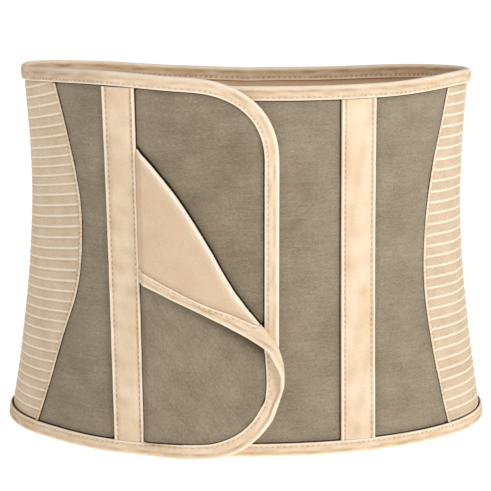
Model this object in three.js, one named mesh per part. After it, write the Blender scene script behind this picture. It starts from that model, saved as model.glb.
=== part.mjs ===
// Abdominal binder: a wrap belt with a rounded over flap whose outer layer has its corner turned down.
// Millimetres, +Z up, front towards -Y, +X to the viewer's right.
// A place on the cloth is a girth distance (from the front centre, + to the viewer's right), a height,
// and an offset outwards from the base surface.
import * as THREE from "three";

// Body sizes
const HEIGHT = 250;
const HALF_WIDTH = 149.2;
const FRONT_DEPTH = 110.9;
const BACK_DEPTH = 86;

// Cloth and trim thicknesses and the gap that neighbours keep
const GAP = 0.3;
const PLAY = 0.45;
const LINING = 1.0;
const CLOTH = 1.6;
const ELASTIC = 2.0;
const RIB_RISE = 0.6;
const BINDING_WALL = 1.0;
const BINDING_WIDTH = 9.5;
const STRIP_WALL = 1.4;
const PIPING_RISE = 0.9;
const CHANNEL_RISE = 1.1;
const TAPE_WIDTH = 3.0;
const TAPE_WALL = 0.8;
const TAPE_SLACK = 0.5;
const HOOK_WALL = 2.3;

// Front closure
const FLAP_REACH = 21.2;
const UNDER_REACH = -62;
const LIFT_FROM = -150;
const LIFT_TO = -85;
const TOP_CORNER = { across: 58, along: 55, fullness: 2.3 };
const FOOT_CORNER = { across: 60, along: 60, fullness: 2.3 };
const EDGE_JOIN = 74.7;
const HOOK_PATCH = { from: -46, to: 6, foot: 34, head: 214 };

// Outer flap with the turned corner
const OUTER_REACH = 24;
const OUTER_CLOTH = 1.0;
const OUTER_LINING = 0.8;
const FLAP_BAND = 3.0;
const FOLD_START = { s: -69.9, z: 207.5 };
const FOLD_LENGTH = 184;
const FOLD_SLOPE = 55.5;
const BAND_START_WALL = 1.0;
const CURL_GAP = 1.9;
const SEAM_PAST_BINDING = 1;
// Inside this distance of the lower edge the flap rises, over this distance, onto the binding.
const BASE_RISE = { from: 23, over: 11.5 };
// Shares of the fold where the flap cloth's ends change: under the strip, narrower, on the turned side,
// beside the curl, and where the flat part starts well inside the corner
const CLOTH_ENDS = { tucked: 0.355, narrow: 0.7, turned: 0.74, curled: 0.82, inside: 0.95 };
const CLOTH_REACH = { inside: -0.29, inward: -0.8, outward: 0.2 };
// Stations of the flap's band: corner turns, then shares of the fold up the curl and along the turned side
const BAND_TURNS = [0.12, 0.22, 0.34, 0.46, 0.58, 0.7, 0.8];
const BAND_CURLS = [1, 0.98, 0.955, 0.93, 0.905, 0.88, 0.86, 0.84, 0.815, 0.79, 0.77];
const BAND_CROSSING = 0.73;
const BAND_TURNED = [0.68, 0.62, 0.56, 0.5, 0.44, 0.395];
const BAND_SLANT = { most: 0.045, from: 0.77, over: 0.2 };

// Elastic side panels
const RIBS = 34;
const RIB_TILT = 8;

// Mesh steps
const PANEL_ROWS = 8;
const PROFILE_STEPS = 720;

const CLOTH_IN = LINING + GAP;
const CLOTH_OUT = CLOTH_IN + CLOTH;
const TRIM_IN = CLOTH_OUT + GAP;
const BINDING_OUT = TRIM_IN + BINDING_WALL;
const BINDING_IN = -PLAY - BINDING_WALL;
const EDGE_INSET = BINDING_WALL + GAP;
const FLAP_LIFT = BINDING_OUT + GAP - BINDING_IN;
const ELASTIC_OUT = CLOTH_OUT - RIB_RISE;
const ELASTIC_IN = ELASTIC_OUT - ELASTIC;

// Girth share of the waist at shares of the height, foot to head
const GIRTH = [
  { up: 0, girth: 1.112 },
  { up: 0.12, girth: 1.08 },
  { up: 0.29, girth: 1.04 },
  { up: 0.42, girth: 1.017 },
  { up: 0.6, girth: 1 },
  { up: 0.78, girth: 1.0035 },
  { up: 0.9, girth: 1.0145 },
  { up: 1, girth: 1.0285 },
  { up: 1.04, girth: 1.035 },
];

// Rim height as a share of the height, against the share of the half girth from the front centre
const RIM_RIGHT = [
  { round: -0.2, rim: 1.002 },
  { round: 0.24, rim: 0.9985 },
  { round: 0.4, rim: 1.005 },
  { round: 0.52, rim: 0.994 },
  { round: 0.7, rim: 0.976 },
  { round: 0.85, rim: 0.958 },
  { round: 1, rim: 0.951 },
];
const RIM_LEFT = [
  { round: -1, rim: 0.951 },
  { round: -0.86, rim: 0.962 },
  { round: -0.72, rim: 0.983 },
  { round: -0.56, rim: 1.004 },
  { round: -0.46, rim: 1.01 },
  { round: -0.35, rim: 1.024 },
  { round: -0.23, rim: 1.033 },
  { round: -0.1, rim: 1.024 },
  { round: 0.06, rim: 1.012 },
];

// Front seams of the side panels: girth share of the waist half girth at height shares
const SEAM_LEFT = [
  { up: 0, girth: -0.3785 },
  { up: 0.12, girth: -0.358 },
  { up: 0.27, girth: -0.333 },
  { up: 0.42, girth: -0.301 },
  { up: 0.55, girth: -0.2945 },
  { up: 0.68, girth: -0.301 },
  { up: 0.82, girth: -0.3245 },
  { up: 0.94, girth: -0.347 },
  { up: 1, girth: -0.357 },
];
const SEAM_RIGHT = [
  { up: 0, girth: 0.3595 },
  { up: 0.12, girth: 0.3485 },
  { up: 0.3, girth: 0.3355 },
  { up: 0.45, girth: 0.3305 },
  { up: 0.6, girth: 0.3385 },
  { up: 0.75, girth: 0.3545 },
  { up: 0.88, girth: 0.3745 },
  { up: 1, girth: 0.389 },
];

// Turned corner: shares of the fold length; outline and ends are measured across the fold.
const FOLD = [
  { along: 0, outline: 0, radius: 0.0087 },
  { along: 0.09, outline: 0.013, radius: 0.0092 },
  { along: 0.24, outline: 0.022, radius: 0.0103 },
  { along: 0.44, outline: 0.0114, radius: 0.0114 },
  { along: 0.54, outline: -0.0005, radius: 0.012 },
  { along: 0.64, outline: -0.006, radius: 0.0125 },
  { along: 0.77, outline: 0, radius: 0.013 },
  { along: 0.853, outline: 0.0027, radius: 0.013 },
  { along: 0.88, outline: -0.0043, radius: 0.013 },
  { along: 0.928, outline: -0.0212, radius: 0.0125 },
  { along: 0.96, outline: -0.041, radius: 0.012 },
  { along: 1, outline: -0.074, radius: 0.012 },
];
const TURNED_EDGE = [
  { along: 0.4, across: -0.278 },
  { along: 0.527, across: -0.201 },
  { along: 0.646, across: -0.1315 },
  { along: 0.772, across: -0.068 },
  { along: 0.837, across: -0.042 },
];
const TURNED_SEAM = [
  { along: 0.355, across: -0.2525 },
  { along: 0.564, across: -0.1385 },
  { along: 0.67, across: -0.066 },
  { along: 0.735, across: -0.026 },
];
// Where the edge rolls up near the end of the fold: rolled length and the flat seam of the band
const CURL = [
  { along: 0.77, rolled: 0.088, seam: -0.026 },
  { along: 0.84, rolled: 0.065, seam: -0.043 },
  { along: 0.88, rolled: 0.05, seam: -0.064 },
  { along: 0.92, rolled: 0.038, seam: -0.088 },
  { along: 0.955, rolled: 0.022, seam: -0.111 },
  { along: 0.98, rolled: 0.009, seam: -0.131 },
  { along: 1, rolled: 0, seam: -0.15 },
];

const COLOURS = {
  taupe: { color: 0x968872, roughness: 0.95 },
  beige: { color: 0xead4b4, roughness: 0.85 },
  lining: { color: 0xdfc3a0, roughness: 0.9 },
  elastic: { color: 0xd5c2a5, roughness: 0.9 },
  seam: { color: 0xf0dfc4, roughness: 0.85 },
  hook: { color: 0xcfc0a8, roughness: 0.8 },
};

const mix = (a, b, t) => a + (b - a) * t;
const clamp01 = (t) => Math.min(1, Math.max(0, t));
const ease = (t) => clamp01(t) ** 2 * (3 - 2 * clamp01(t));

// Smooth curve through the rows of a table: cubic pieces whose slopes come from the neighbours.
function curve(rows, key, value) {
  const x = rows.map((row) => row[key]);
  const y = rows.map((row) => row[value]);
  const last = x.length - 1;
  const slope = x.map((_, i) => {
    const before = Math.max(0, i - 1);
    const after = Math.min(last, i + 1);
    return (y[after] - y[before]) / (x[after] - x[before]);
  });
  return (at) => {
    if (at <= x[0]) return y[0] + slope[0] * (at - x[0]);
    if (at >= x[last]) return y[last] + slope[last] * (at - x[last]);
    let i = 0;
    while (at > x[i + 1]) i += 1;
    const span = x[i + 1] - x[i];
    const t = (at - x[i]) / span;
    const start = y[i] * (1 + 2 * t) * (1 - t) ** 2 + slope[i] * span * t * (1 - t) ** 2;
    return start + y[i + 1] * t * t * (3 - 2 * t) + slope[i + 1] * span * t * t * (t - 1);
  };
}

// Plan: two half ellipses of one width, walked by arc length from the front centre.
function makePlan() {
  const angles = [];
  const arcs = [];
  let arc = 0;
  let old = [0, -FRONT_DEPTH];
  for (let i = 0; i <= PROFILE_STEPS; i += 1) {
    const angle = (Math.PI * i) / PROFILE_STEPS;
    const depth = Math.cos(angle) > 0 ? FRONT_DEPTH : BACK_DEPTH;
    const now = [HALF_WIDTH * Math.sin(angle), -depth * Math.cos(angle)];
    arc += Math.hypot(now[0] - old[0], now[1] - old[1]);
    angles.push(angle);
    arcs.push(arc);
    old = now;
  }
  return { half: arc, angles, arcs };
}
const PLAN = makePlan();
const HALF = PLAN.half;
const SIDE = PLAN.arcs[PROFILE_STEPS / 2];

function planAngle(arc) {
  const size = Math.abs(arc);
  let low = 0;
  let high = PROFILE_STEPS;
  while (high - low > 1) {
    const mid = (low + high) >> 1;
    if (PLAN.arcs[mid] > size) high = mid;
    else low = mid;
  }
  const share = (size - PLAN.arcs[low]) / (PLAN.arcs[high] - PLAN.arcs[low]);
  return Math.sign(arc) * mix(PLAN.angles[low], PLAN.angles[high], share);
}

const girthCurve = curve(GIRTH, "up", "girth");
const girthAt = (z) => girthCurve(z / HEIGHT);

// Point at waist girth u, height z and offset o from the base surface.
function point(u, z, o) {
  const round = u > HALF ? u - 2 * HALF : u;
  const angle = planAngle(round);
  const depth = Math.cos(angle) > 0 ? FRONT_DEPTH : BACK_DEPTH;
  const normal = [Math.sin(angle) / HALF_WIDTH, -Math.cos(angle) / depth];
  const size = Math.hypot(...normal);
  const girth = girthAt(z);
  return [
    girth * HALF_WIDTH * Math.sin(angle) + (o * normal[0]) / size,
    -girth * depth * Math.cos(angle) + (o * normal[1]) / size,
    z,
  ];
}

// Point at true girth distance s on the over flap side, which rises over the under flap.
const liftAt = (s) => FLAP_LIFT * ease((s - LIFT_FROM) / (LIFT_TO - LIFT_FROM));
const leftPoint = (s, z, o) => point(s / girthAt(z), z, o + liftAt(s));
const leftRound = (u, z, o) => leftPoint(u * girthAt(z), z, o);

const rimRightCurve = curve(RIM_RIGHT, "round", "rim");
const rimLeftCurve = curve(RIM_LEFT, "round", "rim");
const rimRight = (u) => (u > HALF ? rimLeft(u - 2 * HALF) : HEIGHT * rimRightCurve(u / HALF));
const rimLeft = (u) => HEIGHT * rimLeftCurve(u / HALF);

const seamLeftCurve = curve(SEAM_LEFT, "up", "girth");
const seamRightCurve = curve(SEAM_RIGHT, "up", "girth");
// Seams run straight between the panel rows, so that both sides of a join share their corners.
function byRows(at) {
  return (v) => {
    const row = Math.min(PANEL_ROWS - 1, Math.max(0, Math.floor(v * PANEL_ROWS)));
    return HALF * mix(at(row / PANEL_ROWS), at((row + 1) / PANEL_ROWS), v * PANEL_ROWS - row);
  };
}
const seamLeft = byRows(seamLeftCurve);
const seamRight = byRows(seamRightCurve);
// The back seams mirror the front ones about the sides.
const seamLeftBack = (v) => -2 * SIDE - seamLeft(v);
const seamRightBack = (v) => 2 * SIDE - seamRight(v);

// Closed solid from shared points and faces, turned to face outwards.
function makeGeometry(points, faces) {
  let volume = 0;
  for (const [a, b, c] of faces) {
    const [p, q, r] = [points[a], points[b], points[c]];
    volume += p[0] * (q[1] * r[2] - q[2] * r[1]);
    volume += p[1] * (q[2] * r[0] - q[0] * r[2]);
    volume += p[2] * (q[0] * r[1] - q[1] * r[0]);
  }
  const index = faces.flatMap(([a, b, c]) => (volume < 0 ? [a, c, b] : [a, b, c]));
  const geometry = new THREE.BufferGeometry();
  geometry.setAttribute("position", new THREE.Float32BufferAttribute(points.flat(), 3));
  geometry.setIndex(index);
  geometry.computeVertexNormals();
  return geometry;
}

// Faces between two rows of points that may differ in count.
function zip(first, second, faces) {
  let i = 0;
  let j = 0;
  while (i < first.length - 1 || j < second.length - 1) {
    const next = (i + 1) / (first.length - 1);
    const other = (j + 1) / (second.length - 1);
    if (j === second.length - 1 || (i < first.length - 1 && next <= other)) {
      faces.push([first[i], first[i + 1], second[j]]);
      i += 1;
    } else {
      faces.push([first[i], second[j + 1], second[j]]);
      j += 1;
    }
  }
}

// Slab between an outer and an inner surface, each a function of column and row shares.
function slab(columns, outerRows, innerRows, outerAt, innerAt) {
  const points = [];
  const faces = [];
  const layer = (rows, at) =>
    rows.map((v) => columns.map((c) => points.push(at(c, v)) - 1));
  const out = layer(outerRows, outerAt);
  const back = layer(innerRows, innerAt);
  for (let j = 0; j < out.length - 1; j += 1) zip(out[j], out[j + 1], faces);
  const inner = [];
  for (let j = 0; j < back.length - 1; j += 1) zip(back[j], back[j + 1], inner);
  inner.forEach(([a, b, c]) => faces.push([a, c, b]));
  const edge = (rows, i) => rows.map((row) => row[i]);
  const end = columns.length - 1;
  zip(back[0], out[0], faces);
  zip(out[out.length - 1], back[back.length - 1], faces);
  zip(edge(out, 0), edge(back, 0), faces);
  zip(edge(back, end), edge(out, end), faces);
  return makeGeometry(points, faces);
}

// Solid swept through closed loops of equal count; the profile gives the end faces.
function sweep(loops, profile) {
  const count = profile.length;
  const points = loops.flat();
  const faces = [];
  for (let j = 0; j < loops.length - 1; j += 1) {
    for (let i = 0; i < count; i += 1) {
      const a = j * count + i;
      const b = j * count + ((i + 1) % count);
      faces.push([a, b, a + count], [b, b + count, a + count]);
    }
  }
  const outline = profile.map(([x, y]) => new THREE.Vector2(x, y));
  const cap = THREE.ShapeUtils.triangulateShape(outline, []);
  const turn = THREE.ShapeUtils.isClockWise(outline);
  const far = (loops.length - 1) * count;
  for (const [a, b, c] of cap) {
    const near = turn ? [a, b, c] : [a, c, b];
    faces.push(near, [near[0] + far, near[2] + far, near[1] + far]);
  }
  return makeGeometry(points, faces);
}

const steps = (count) => Array.from({ length: count + 1 }, (_, i) => i / count);

// Rounded corner: how far the edge has fallen back at a distance into the corner.
function cornerDrop(corner, into) {
  const share = clamp01(into / corner.across);
  return corner.along * (1 - (1 - share ** corner.fullness) ** (1 / corner.fullness));
}
// Columns that follow a rounded corner evenly.
const cornerColumn = (corner, turn) =>
  corner.across * Math.sin((turn * Math.PI) / 2) ** (2 / corner.fullness);

// A corner drawn in by an inset
const smaller = (corner, inset) => ({
  ...corner,
  across: corner.across - inset,
  along: corner.along - inset,
});

// Head and foot of the over flap, with their rounded corners, at true girth s.
function flapHead(s, inset) {
  const rim = rimLeft(s / girthAt(HEIGHT)) - inset;
  return rim - cornerDrop(smaller(TOP_CORNER, inset), s - (FLAP_REACH - TOP_CORNER.across));
}
function flapFoot(s, inset, reach = FLAP_REACH) {
  return inset + cornerDrop(smaller(FOOT_CORNER, inset), s - (reach - FOOT_CORNER.across));
}

// Panels
const frontRightColumns = steps(13);
const sideColumns = steps(9);
const backColumns = steps(15);
const panelRows = steps(PANEL_ROWS);

// Height of a row inside the bindings
const rowHeight = (v, rim) => mix(EDGE_INSET, rim - EDGE_INSET, v);

function frontRight(c, v, o) {
  const z = rowHeight(v, rimRight(0));
  const u = mix((UNDER_REACH + EDGE_INSET) / girthAt(z), seamRight(v) - GAP / 2, c);
  return point(u, rowHeight(v, rimRight(u)), o);
}
function sideRight(c, v, o) {
  const u = mix(seamRight(v) + GAP / 2, seamRightBack(v) - GAP / 2, c);
  return point(u, rowHeight(v, rimRight(u)), o);
}
function back(c, v, o) {
  const u = mix(seamRightBack(v) + GAP / 2, 2 * HALF + seamLeftBack(v) - GAP / 2, c);
  return point(u, rowHeight(v, rimRight(u)), o);
}
// The left panel's ribs rise towards the front, so its rows are moved up there and it keeps a wider gap.
function sideLeft(c, v, o) {
  const up = v + (RIB_TILT / HEIGHT) * c * c * Math.sin(Math.PI * v);
  const u = mix(seamLeftBack(up) + GAP, seamLeft(up) - GAP, c);
  return leftRound(u, rowHeight(up, rimLeft(u)), o);
}
// The over flap's columns run from the seam to its rounded free edge.
const flapStraight = 9;
const flapCorner = 6;
const flapColumns = Array.from({ length: flapStraight + flapCorner + 1 }, (_, i) => i);
function frontLeft(column, v, o) {
  const start = FLAP_REACH - TOP_CORNER.across;
  let s = start + cornerColumn(TOP_CORNER, (column - flapStraight) / flapCorner);
  if (column <= flapStraight) {
    const z = rowHeight(v, rimLeft(seamLeft(v)));
    const seam = (seamLeft(v) + GAP / 2) * girthAt(z);
    s = mix(seam, start, column / flapStraight);
  } else {
    s = start + (s - start) * ((TOP_CORNER.across - EDGE_INSET) / TOP_CORNER.across);
  }
  return leftPoint(s, mix(flapFoot(s, EDGE_INSET), flapHead(s, EDGE_INSET), v), o);
}

const wall = (columns, rows, at, low, high) =>
  slab(columns, rows, rows, (c, v) => at(c, v, high), (c, v) => at(c, v, low));

// Elastic panels: the outer face rises into a rib line twice per pitch.
function ribbed(at) {
  const rows = steps(2 * RIBS);
  const rise = (v) => (Math.round(v * 2 * RIBS) % 2 ? RIB_RISE : 0);
  return slab(
    sideColumns,
    rows,
    panelRows,
    (c, v) => at(c, v, ELASTIC_OUT + rise(v)),
    (c, v) => at(c, v, ELASTIC_IN),
  );
}

// Bindings: a folded tape swept along the edge, its legs on both faces of the cloth.
const BINDING = [
  [0, BINDING_IN],
  [BINDING_WIDTH, BINDING_IN],
  [BINDING_WIDTH, BINDING_IN + BINDING_WALL],
  [BINDING_WALL, BINDING_IN + BINDING_WALL],
  [BINDING_WALL, TRIM_IN],
  [BINDING_WIDTH, TRIM_IN],
  [BINDING_WIDTH, BINDING_OUT],
  [0, BINDING_OUT],
];

// Girths of the binding's stations, taken from the panels' own columns
const seamU = (columns, from, to) => columns.map((c) => mix(from, to, c));
const ringRight = (v, start) => [
  ...seamU(frontRightColumns, start, seamRight(v)),
  ...seamU(sideColumns, seamRight(v), seamRightBack(v)).slice(1),
  ...seamU(backColumns, seamRightBack(v), 2 * HALF + seamLeftBack(v)).slice(1),
];
const ringLeft = (v) => seamU(sideColumns, seamLeftBack(v), seamLeft(v)).slice(1);

// Over flap edge: girth, height and inward direction from the seam to the free edge and down.
function flapEdge(up) {
  const start = FLAP_REACH - TOP_CORNER.across;
  const z = up ? HEIGHT : 0;
  const seam = seamLeft(up ? 1 : 0) * girthAt(z);
  const straight = steps(flapStraight).slice(1).map((c) => mix(seam, start, c));
  const corner = up ? TOP_CORNER : FOOT_CORNER;
  const from = FLAP_REACH - corner.across;
  const turns = steps(8).slice(1).map((turn) => from + cornerColumn(corner, turn));
  const edge = up ? flapHead : flapFoot;
  return [...straight, ...turns].map((s) => [s, edge(s, 0)]);
}
// Directions into the cloth, square to a path of girths and heights
function inward(path, side) {
  return path.map((_, i) => {
    const a = path[Math.max(0, i - 1)];
    const b = path[Math.min(path.length - 1, i + 1)];
    const size = Math.hypot(b[0] - a[0], b[1] - a[1]);
    return [(side * (b[1] - a[1])) / size, (-side * (b[0] - a[0])) / size];
  });
}

// Rim or foot binding: round from the under flap to the over flap, then along its free edge to the join
function bindingLoops(up) {
  const inwards = up ? -1 : 1;
  const v = up ? 1 : 0;
  const right = ringRight(v, UNDER_REACH / girthAt(up ? HEIGHT : 0));
  const loops = right.map((u) =>
    BINDING.map(([w, o]) => point(u, (up ? rimRight(u) : 0) + inwards * w, o)),
  );
  ringLeft(v).forEach((u) => {
    loops.push(BINDING.map(([w, o]) => leftRound(u, (up ? rimLeft(u) : 0) + inwards * w, o)));
  });
  const path = flapEdge(up);
  const end = up ? EDGE_JOIN + GAP / 2 : EDGE_JOIN - GAP / 2;
  const last = path[path.length - 1];
  const downs = up ? [0.3, 0.65, 1] : [1];
  downs.forEach((share) => path.push([FLAP_REACH, mix(last[1], end, share)]));
  const normals = inward(path, up ? 1 : -1);
  path.forEach(([s, z], i) => {
    const [ns, nz] = normals[i];
    loops.push(BINDING.map(([w, o]) => leftPoint(s + ns * w, z + nz * w, o)));
  });
  return loops;
}

// Hidden end of the under flap
function underBinding() {
  const rim = rimRight(0);
  const foot = BINDING_WIDTH + GAP;
  return sweep(
    panelRows.map((v) => {
      const z = mix(foot, rim - foot, v);
      return BINDING.map(([w, o]) => point((UNDER_REACH + w) / girthAt(z), z, o));
    }),
    BINDING,
  );
}

// Hidden hook patch that holds the over flap to the under flap
function hookPatch() {
  const at = (c, v, o) => {
    const z = mix(HOOK_PATCH.foot, HOOK_PATCH.head, v);
    return point(mix(HOOK_PATCH.from, HOOK_PATCH.to, c) / girthAt(z), z, o);
  };
  return wall(steps(4), steps(6), at, TRIM_IN, TRIM_IN + HOOK_WALL);
}

// Boning strips: a flat channel between two piped edges
const STRIP_SECTION_WIDTH = 26;
const STRIP_PROFILE = [
  { across: 0, rise: 0 },
  { across: 0.34, rise: 0 },
  { across: 0.67, rise: 0 },
  { across: 1, rise: 0 },
  { across: 1, rise: STRIP_WALL + 0.4 * PIPING_RISE },
  { across: 0.96, rise: STRIP_WALL + PIPING_RISE },
  { across: 0.91, rise: STRIP_WALL },
  { across: 0.72, rise: STRIP_WALL + 0.7 * CHANNEL_RISE },
  { across: 0.5, rise: STRIP_WALL + CHANNEL_RISE },
  { across: 0.28, rise: STRIP_WALL + 0.7 * CHANNEL_RISE },
  { across: 0.09, rise: STRIP_WALL },
  { across: 0.04, rise: STRIP_WALL + PIPING_RISE },
  { across: 0, rise: STRIP_WALL + 0.4 * PIPING_RISE },
];
const STRIP_LEFT = { foot: [-87.2, -66.8], head: [-95.4, -72.5] };
const STRIP_RIGHT = { foot: [63.9, 88.3], head: [63.2, 87.9] };
function strip(edges, at, rim) {
  const foot = BINDING_WIDTH + GAP;
  const outline = STRIP_PROFILE.map(({ across, rise }) => [across * STRIP_SECTION_WIDTH, rise]);
  return sweep(
    panelRows.map((v) => {
      const head = Math.min(...edges.head.map((s) => rim(s / girthAt(HEIGHT))));
      const z = mix(foot, head - foot, v);
      const low = mix(edges.foot[0], edges.head[0], v);
      const high = mix(edges.foot[1], edges.head[1], v);
      return STRIP_PROFILE.map(({ across, rise }) => at(mix(low, high, across), z, TRIM_IN + rise));
    }),
    outline,
  );
}
const rightPoint = (s, z, o) => point(s / girthAt(z), z, o);

// Seam tapes over the joins of the side panels
function seamTape(seam, rim, at) {
  const profile = [
    [-TAPE_WIDTH / 2, TRIM_IN],
    [TAPE_WIDTH / 2, TRIM_IN],
    [TAPE_WIDTH / 2, TRIM_IN + TAPE_WALL],
    [-TAPE_WIDTH / 2, TRIM_IN + TAPE_WALL],
  ];
  const foot = BINDING_WIDTH + GAP;
  return sweep(
    steps(12).map((share) => {
      const guess = rim(seam(share));
      const z = mix(foot, guess - foot - TAPE_SLACK, share);
      const u = seam((z - EDGE_INSET) / (guess - 2 * EDGE_INSET));
      return profile.map(([across, o]) => at(u + across, z, o));
    }),
    profile,
  );
}

// Outer flap, laid out in its own plane: along the fold and across it (+ towards the free edge).
const foldAngle = (FOLD_SLOPE * Math.PI) / 180;
const ALONG = [Math.cos(foldAngle), -Math.sin(foldAngle)];
const ACROSS = [Math.sin(foldAngle), Math.cos(foldAngle)];
const foldOutline = curve(FOLD, "along", "outline");
const foldRadius = curve(FOLD, "along", "radius");
const turnedEdge = curve(TURNED_EDGE, "along", "across");
const turnedSeam = curve(TURNED_SEAM, "along", "across");
const curlRolled = curve(CURL, "along", "rolled");
const curlSeam = curve(CURL, "along", "seam");
const CURL_FROM = CURL[0].along * FOLD_LENGTH;

// Radius of the fold's roll
function radiusAt(b) {
  return FOLD_LENGTH * foldRadius(clamp01(b / FOLD_LENGTH));
}
// Length of cloth past the line where it leaves the flat
function rolledAt(b) {
  if (b >= FOLD_LENGTH) return 0;
  const share = b / FOLD_LENGTH;
  if (b > CURL_FROM) return Math.max(0, FOLD_LENGTH * curlRolled(share));
  const outline = FOLD_LENGTH * foldOutline(share);
  const edge = FOLD_LENGTH * turnedEdge(share);
  return (Math.PI - 1) * radiusAt(b) + outline - FLAP_BAND / 2 - edge;
}
// The line where the cloth leaves the flat, as a distance across the fold
function leaveAt(b) {
  const rolled = rolledAt(b);
  const radius = radiusAt(b);
  const reach = (radius + FLAP_BAND / 2) * Math.sin(Math.min(rolled / radius, Math.PI / 2));
  return FOLD_LENGTH * foldOutline(Math.min(1, Math.max(0, b / FOLD_LENGTH))) - reach;
}
// Distance across, in the cloth's own plane, of a visible distance on the turned side
const turnedAcross = (b, visible) => 2 * leaveAt(b) + Math.PI * radiusAt(b) - visible;

// How far inside the over flap's lower edge a place is
function insideFoot(s, z) {
  const x = s - (FLAP_REACH - FOOT_CORNER.across);
  const y = FOOT_CORNER.along - z;
  if (x <= 0 || y <= 0) return Math.min(z, FLAP_REACH - s);
  const { across, along, fullness } = FOOT_CORNER;
  const r = ((x / across) ** fullness + (y / along) ** fullness) ** (1 / fullness);
  return Math.hypot(x, y) * (1 / r - 1);
}
const OUTER_BASE = CLOTH_OUT + GAP + OUTER_LINING + GAP / 2;
const OUTER_ON_BINDING = BINDING_OUT + GAP + FLAP_BAND / 2;
// Offset of the outer flap's middle: on the over flap's cloth, and higher on its binding
function outerBase(s, z) {
  const near = ease((BASE_RISE.from - insideFoot(s, z)) / BASE_RISE.over);
  return mix(OUTER_BASE, OUTER_ON_BINDING, near);
}

// Maps a place in the outer flap's own plane, and an offset from its middle, to space.
function flapPoint(b, a, offset) {
  const leave = leaveAt(b);
  const radius = radiusAt(b);
  const past = a - leave;
  let across = a;
  let rise = 0;
  let turn = 0;
  if (past > 0 && b < FOLD_LENGTH) {
    turn = Math.min(Math.PI, past / radius);
    across = leave + radius * Math.sin(turn) - Math.max(0, past - Math.PI * radius);
    rise = radius * (1 - Math.cos(turn));
  }
  across -= offset * Math.sin(turn);
  rise += offset * Math.cos(turn);
  const s = FOLD_START.s + b * ALONG[0] + across * ACROSS[0];
  const z = FOLD_START.z + b * ALONG[1] + across * ACROSS[1];
  return leftPoint(s, z, outerBase(s, z) + rise);
}
// Between girth and height and the flap's own plane
const toPlane = ([s, z]) => {
  const ds = s - FOLD_START.s;
  const dz = z - FOLD_START.z;
  return [ds * ALONG[0] + dz * ALONG[1], ds * ACROSS[0] + dz * ACROSS[1]];
};
const fromPlane = (b, a) => [
  FOLD_START.s + b * ALONG[0] + a * ACROSS[0],
  FOLD_START.z + b * ALONG[1] + a * ACROSS[1],
];

const stripEdgeAt = (z) => mix(STRIP_LEFT.foot[1], STRIP_LEFT.head[1], z / HEIGHT);
const bandSeamFoot = (s) => flapFoot(s, BINDING_WIDTH + SEAM_PAST_BINDING, OUTER_REACH);
// Whether a flat place is flap cloth, clear of the strip and of the band
function onFlap(b, a) {
  const [s, z] = fromPlane(b, a);
  if (s <= stripEdgeAt(z) + GAP || z <= bandSeamFoot(s) + GAP) return false;
  if (b > FOLD_LENGTH || b < CURL_FROM) return true;
  return a < FOLD_LENGTH * curlSeam(b / FOLD_LENGTH) - GAP;
}
// The cloth's edge on a line across the fold, found by halving from a place inside
const HALVINGS = 40;
function edgeAlong(b, inside, outside) {
  let near = inside;
  let far = outside;
  for (let i = 0; i < HALVINGS; i += 1) {
    const mid = (near + far) / 2;
    if (onFlap(b, mid)) near = mid;
    else far = mid;
  }
  return near;
}

const group = new THREE.Group();
group.name = "abdominal_binder";
function add(name, colour, geometry) {
  const look = { ...COLOURS[colour], metalness: 0, flatShading: true };
  const material = new THREE.MeshStandardMaterial(look);
  const mesh = new THREE.Mesh(geometry, material);
  mesh.name = name;
  group.add(mesh);
}

// Outer flap cloth: sections across the fold from the flat start to the turned end
const FLAP_SECTIONS = [
  0.03, 0.11, 0.2, 0.28, 0.355, 0.43, 0.5, 0.57, 0.64, 0.69, 0.735, 0.752, 0.77, 0.82, 0.89, 0.96,
  1.01, 1.035,
];
const FLAT_STEPS = 5;
const ROLL_STEPS = 3;
const TURNED_STEPS = 3;
// Where the cloth starts, leaves the flat, lies turned and ends, across the fold
function clothEnds(share) {
  const b = share * FOLD_LENGTH;
  const leave = leaveAt(b);
  const roll = leave + Math.PI * radiusAt(b);
  let inside = leave - 1;
  if (share > CLOTH_ENDS.inside) inside = CLOTH_REACH.inside * FOLD_LENGTH;
  const start = edgeAlong(b, inside, CLOTH_REACH.inward * FOLD_LENGTH);
  let end = roll;
  if (share <= CLOTH_ENDS.tucked) {
    const [s, z] = fromPlane(b, 0);
    const visible = (stripEdgeAt(z) + GAP - s) / ACROSS[0];
    end = turnedAcross(b, visible);
  } else if (share <= CLOTH_ENDS.turned) {
    const clear = share > CLOTH_ENDS.narrow ? 2 * CURL_GAP : GAP;
    end = turnedAcross(b, FOLD_LENGTH * turnedSeam(share)) - clear;
  } else if (share <= 1) {
    end = FOLD_LENGTH * curlSeam(share) - (share < CLOTH_ENDS.curled ? CURL_GAP : GAP);
  } else end = edgeAlong(b, inside, CLOTH_REACH.outward * FOLD_LENGTH);
  return { start, end, leave, roll };
}
// Places across the fold: some on the flat, some round the roll, some on the turned side
function flapColumnsAt(share) {
  const { start, end, leave, roll } = clothEnds(share);
  const flatEnd = Math.min(leave, mix(start, end, 0.7));
  const rollEnd = Math.min(Math.max(roll, flatEnd), mix(flatEnd, end, 0.8));
  return [
    ...steps(FLAT_STEPS).map((t) => mix(start, flatEnd, t)),
    ...steps(ROLL_STEPS).slice(1).map((t) => mix(flatEnd, rollEnd, t)),
    ...steps(TURNED_STEPS).slice(1).map((t) => mix(rollEnd, end, t)),
  ];
}
function flapLayer(low, high) {
  const grids = FLAP_SECTIONS.map((share) => flapColumnsAt(share));
  const columns = grids[0].map((_, i) => i);
  const rows = FLAP_SECTIONS.map((_, j) => j);
  const at = (offset) => (i, j) => flapPoint(FLAP_SECTIONS[j] * FOLD_LENGTH, grids[j][i], offset);
  return slab(columns, rows, rows, at(high), at(low));
}

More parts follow.
